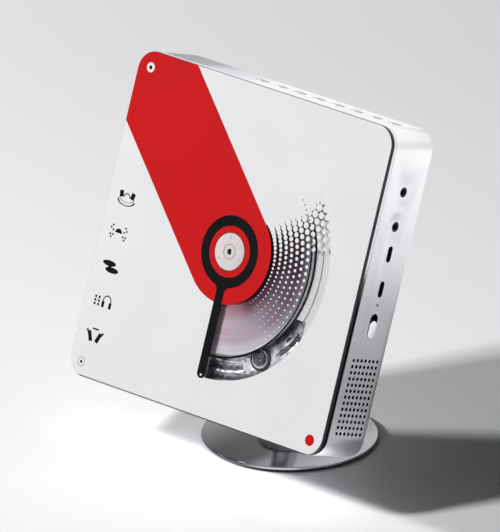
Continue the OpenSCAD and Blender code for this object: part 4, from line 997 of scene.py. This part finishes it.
ring = turned("print_black_ring", ring_black_inner, ring_black_outer, black_from, black_level, 128)
bar = block(
    "bar", (-bar_half, bar_end, black_from), (bar_half, -(ring_black_inner + ring_black_outer) / 2, black_level))
shape_with(ring, bar, "UNION")
shape_with(ring, peg("end", bar_half, black_from, black_level, (0, bar_end), 48), "UNION")
fillet_across = bar_half + fillet
fillet_up = -sqrt((ring_black_outer + fillet) ** 2 - fillet_across ** 2)
touch = ring_black_outer / (ring_black_outer + fillet)
web = block(
    "web", (-fillet_across * touch, fillet_up, black_from), (fillet_across * touch, fillet_up * touch, black_level))
for side in (-1, 1):
    shape_with(web, peg("round", fillet, -through, through, (side * fillet_across, fillet_up)))
shape_with(ring, web, "UNION")
printed(ring, black_ink_and_painted_shade)
ring.visible_shadow = False

# Halftone dots
# White ink dots in rings about the spindle, which grow up the window until they close over at its upper edge.
# A black line of painted shade round the disc's edge breaks up into dashes there. Neighbouring dots lie at different
# levels.
dot_first_ring = 33.5
dot_ring_pitch = 4
dot_rings = 11
dot_turn_step = 4
dot_turn_low = -46
dot_turn_high = 46
dot_sides = 12
dot_level = -0.066
dot_level_step = 0.003
line_inner = 59.8
line_outer = 61.0
dash_from = 15
dash_radius = 0.75


def dot_share(turn):
    """How much of its cell a dot fills, from 0 to a little over 1."""
    grown = (turn - dot_turn_low) / (dot_turn_high - dot_turn_low)
    return 0.12 + 0.72 * grown + 0.85 * grown ** 7


def add_dot(radius, distance, turn, low):
    """One flat dot at a distance and turn about the spindle."""
    bpy.ops.mesh.primitive_circle_add(
        vertices=dot_sides, radius=radius, fill_type="NGON",
        location=(distance * cos(radians(turn)), distance * sin(radians(turn)), low))


def raise_dots(thickness):
    """Gives flat dots their thickness and leaves edit mode."""
    bpy.ops.mesh.select_all(action="SELECT")
    bpy.ops.mesh.extrude_region_move(TRANSFORM_OT_translate={"value": (0, 0, thickness)})
    bpy.ops.mesh.select_all(action="SELECT")
    bpy.ops.mesh.normals_make_consistent(inside=False)
    bpy.ops.object.mode_set(mode="OBJECT")


first = True
for ring_number in range(dot_rings):
    distance = dot_first_ring + ring_number * dot_ring_pitch
    cell = (dot_ring_pitch + min(dot_ring_pitch, distance * radians(dot_turn_step))) / 2
    for turn in range(dot_turn_low, dot_turn_high + 1, dot_turn_step):
        shifted = turn + (dot_turn_step / 2 if ring_number % 2 else 0)
        if distance > line_inner and shifted < dash_from:
            continue
        level_number = ring_number % 2 * 2 + (turn - dot_turn_low) // dot_turn_step % 2
        add_dot(cell / 2 * dot_share(shifted), distance, shifted, ink_from + level_number * dot_level_step)
        if first:
            dots = bpy.context.object
            bpy.ops.object.transform_apply(location=True, rotation=True, scale=True)
            bpy.ops.object.mode_set(mode="EDIT")
            first = False
raise_dots(dot_level - ink_from)
dots.name = "print_halftone_dots"
printed(dots, white_ink)

# Painted shade: a black ring laid over the gap between the disc and the deck, and black dashes where the dots close
# over it.
gap_shade_line = turned_part("painted_gap_shade_line", line_inner, line_outer, ink_from, black_level, -90, dash_from)
gap_shade_line.location = (-0.2, -0.4, 0)
printed(gap_shade_line, black_ink_and_painted_shade)
gap_shade_line.visible_shadow = False

add_dot(dash_radius, (line_inner + line_outer) / 2, dash_from + 2, ink_from)
dashes = bpy.context.object
dashes.name = "painted_gap_shade_dashes"
bpy.ops.object.transform_apply(location=True, rotation=True, scale=True)
bpy.ops.object.mode_set(mode="EDIT")
for turn in range(dash_from + 5, dot_turn_high, 3):
    add_dot(dash_radius * (1 - (turn - dash_from) / 60), (line_inner + line_outer) / 2, turn, ink_from)
raise_dots(black_level - ink_from)
printed(dashes, black_ink_and_painted_shade)

# Corner marks and the bar's end mark
# Small printed rounds over the corner magnets, each in its own colours, and a white point in the bar's end.
corner_place = 88
upper_left = (-87.6, 87.1)
lower_left = (-88.2, -88.8)
mark_radius = 2.9


def small_round(name, radius, at, ink, top=top_level):
    """One printed round."""
    piece = peg(name, radius, mark_from, top, at, 40)
    return printed(piece, ink)


small_round("print_mark_upper_left", mark_radius, upper_left, white_ink, black_level)
small_round("print_mark_upper_left_middle", 1.2, upper_left, black_ink_and_painted_shade)
small_round("print_mark_lower_left", mark_radius, lower_left, grey_ink, red_level)
small_round("print_mark_lower_left_ring", mark_radius - 0.7, lower_left, white_ink, black_level)
small_round("print_mark_lower_left_middle", 0.9, lower_left, black_ink_and_painted_shade)
small_round("print_mark_lower_right", 3.3, (corner_place, -corner_place), red_ink, black_level)
small_round("print_bar_end_point", 0.7, (0, bar_end - 0.9), white_ink)

# Pictograms
# Five small black signs down the left side: a lid, rays, a disc, headphones beside a row of points, raised bars.
sign_across = -83


def sign_bar(across, up, width, height, turn=0):
    """One straight stroke of a sign."""
    bpy.ops.mesh.primitive_cube_add(
        size=1, location=(sign_across + across, up, (mark_from + top_level) / 2), rotation=(0, 0, radians(turn)),
        scale=(width, height, top_level - mark_from))
    bpy.ops.object.transform_apply(location=True, rotation=True, scale=True)
    return bpy.context.object


def sign_round(across, up, radius, squash=1):
    """One round point of a sign."""
    piece = peg("round", radius, mark_from, top_level, (sign_across + across, up), 24)
    if squash != 1:
        piece.scale = (1, squash, 1)
        piece.location = (0, up * (1 - squash), 0)
        choose(piece)
        bpy.ops.object.transform_apply(location=True, rotation=True, scale=True)
    return piece


def sign_arc(across, up, inner, outer, squash, keep):
    """One half round stroke of a sign; keep is 1 where its upper half stays and -1 where its lower half does."""
    piece = turned("arc", inner, outer, mark_from, top_level, 48)
    bpy.ops.object.mode_set(mode="EDIT")
    bpy.ops.mesh.select_all(action="SELECT")
    bpy.ops.mesh.bisect(plane_co=(0, 0, 0), plane_no=(0, keep, 0), clear_inner=True, use_fill=True)
    bpy.ops.object.mode_set(mode="OBJECT")
    piece.scale = (1, squash, 1)
    piece.location = (sign_across + across, up, 0)
    choose(piece)
    bpy.ops.object.transform_apply(location=True, rotation=True, scale=True)
    return piece


lid_up = 10.5
rays_up = -10.6
disc_up = -30.7
phones_up = -51.5
bars_up = -72.5
lid_sign = [sign_arc(0.2, lid_up - 1.6, 5.6, 6.7, 0.5, -1), sign_arc(0.2, lid_up - 0.3, 5.2, 5.7, 0.45, -1),
            sign_bar(-4.2, lid_up + 1.6, 2.9, 3.9, 12), sign_bar(4.4, lid_up + 1.6, 2.9, 3.9, -12),
            sign_arc(0.1, lid_up + 0.2, 1.8, 2.4, 1, 1)]
rays_sign = [sign_arc(0, rays_up, 0.2, 2.6, 1, 1)]
for side in (-1, 1):
    for reach, rise in ((4.2, 1.1), (6.0, 2.2), (4.8, 3.8), (5.8, -1.6), (3.8, -1.6), (5.0, -3.2)):
        rays_sign.append(sign_round(side * reach, rays_up + rise, 0.62))
disc_sign = [sign_round(-1.3, disc_up + 1.7, 5.0, 0.34), sign_round(1.5, disc_up - 1.9, 5.0, 0.34),
             sign_bar(-0.4, disc_up - 0.1, 3.2, 1.0, 30)]
phones_sign = [sign_arc(3.4, phones_up + 0.4, 2.7, 3.3, 1.2, 1), sign_bar(0.7, phones_up - 1.4, 1.9, 3.6),
               sign_bar(6.1, phones_up - 1.4, 1.9, 3.6)]
for row in range(3):
    for column in range(2):
        phones_sign.append(sign_bar(-5.4 + column * 2.7, phones_up - 2.3 + row * 2.1, 1.4, 1.4))
bars_sign = [sign_bar(-3.2, bars_up - 0.3, 2.5, 6.2, 24), sign_bar(3.2, bars_up - 0.3, 2.5, 6.2, -24),
             sign_bar(-5.2, bars_up + 2.0, 1.3, 3.2, 40), sign_bar(5.2, bars_up + 2.0, 1.3, 3.2, -40),
             sign_bar(0, bars_up + 4.4, 4.6, 0.9)]
for name, strokes in (("lid", lid_sign), ("rays", rays_sign), ("disc", disc_sign), ("phones", phones_sign),
                      ("bars", bars_sign)):
    printed(unite("print_sign_" + name, strokes), black_ink_and_painted_shade)

# Floor and light
# A wide pale table top with painted shade darkening it with distance, two soft boxes at the front left and a bright
# room.
floor_half = 6
floor_near = tint(236, 236, 237)
floor_far = tint(229, 229, 231)
floor_lift = 1.72
floor_mirror_lift = 3.1
room_glow = 0.012
# Each soft box: where it hangs, how wide it is and its power.
soft_boxes = (((-1.8, -3.06, 3), 0.5, 106), ((-3.86, -2.25, 2.2), 0.45, 118))
bpy.ops.mesh.primitive_plane_add(size=2 * floor_half, location=(0, 0, 0))
floor = bpy.context.object
floor.name = "table_top"
table = bpy.data.materials.new("table top")
table.use_nodes = True
tree = table.node_tree
tree.nodes.remove(tree.nodes["Principled BSDF"])
matt = tree.nodes.new("ShaderNodeBsdfDiffuse")
place = tree.nodes.new("ShaderNodeTexCoord")
away = tree.nodes.new("ShaderNodeVectorMath")
away.operation = "DOT_PRODUCT"
away.inputs[1].default_value = (-sin(view_turn), cos(view_turn), 0)
tree.links.new(place.outputs["Object"], away.inputs[0])
table_painted_falloff = ramp(tree, away.outputs["Value"], -0.2, 1.2, ((-0.1, floor_near), (0.15, floor_near), (0.7, floor_far)))
lifted = tree.nodes.new("ShaderNodeVectorMath")
lifted.operation = "SCALE"
lift = tree.nodes.new("ShaderNodeMath")
lift.operation = "MULTIPLY_ADD"
lift.inputs[1].default_value = floor_lift - 1
mirror_lift = tree.nodes.new("ShaderNodeMath")
mirror_lift.operation = "MULTIPLY_ADD"
mirror_lift.inputs[1].default_value = floor_mirror_lift - 1
mirror_lift.inputs[2].default_value = 1
ray = tree.nodes.new("ShaderNodeLightPath")
tree.links.new(ray.outputs["Is Glossy Ray"], mirror_lift.inputs[0])
tree.links.new(ray.outputs["Is Camera Ray"], lift.inputs[0])
tree.links.new(mirror_lift.outputs[0], lift.inputs[2])
tree.links.new(table_painted_falloff, lifted.inputs[0])
tree.links.new(lift.outputs[0], lifted.inputs["Scale"])
tree.links.new(lifted.outputs[0], matt.inputs["Color"])
tree.links.new(matt.outputs[0], tree.nodes["Material Output"].inputs["Surface"])
floor.data.materials.append(table)
for place, width, energy in soft_boxes:
    bpy.ops.object.light_add(type="AREA", location=place, rotation=Vector(place).to_track_quat("Z", "Y").to_euler())
    lamp = bpy.context.object.data
    lamp.size = width
    lamp.energy = energy
room = bpy.data.worlds.new("bright room")
bpy.context.scene.world = room
room.use_nodes = True
tree = room.node_tree
tree.nodes.clear()
ray = tree.nodes.new("ShaderNodeLightPath")
mirrored = tree.nodes.new("ShaderNodeMath")
mirrored.operation = "ADD"
mirrored.use_clamp = True
seen = tree.nodes.new("ShaderNodeMath")
seen.operation = "ADD"
seen.use_clamp = True
strength = tree.nodes.new("ShaderNodeMapRange")
strength.inputs["To Min"].default_value = room_glow
strength.inputs["To Max"].default_value = 1
backdrop = tree.nodes.new("ShaderNodeBackground")
backdrop.inputs["Color"].default_value = (1, 1, 1, 1)
world_out = tree.nodes.new("ShaderNodeOutputWorld")
tree.links.new(ray.outputs["Is Glossy Ray"], mirrored.inputs[0])
tree.links.new(ray.outputs["Is Transmission Ray"], mirrored.inputs[1])
tree.links.new(mirrored.outputs[0], seen.inputs[0])
tree.links.new(ray.outputs["Is Camera Ray"], seen.inputs[1])
tree.links.new(seen.outputs[0], strength.inputs["Value"])
tree.links.new(strength.outputs[0], backdrop.inputs["Strength"])
tree.links.new(backdrop.outputs[0], world_out.inputs["Surface"])
bpy.context.scene.view_settings.view_transform = "Standard"
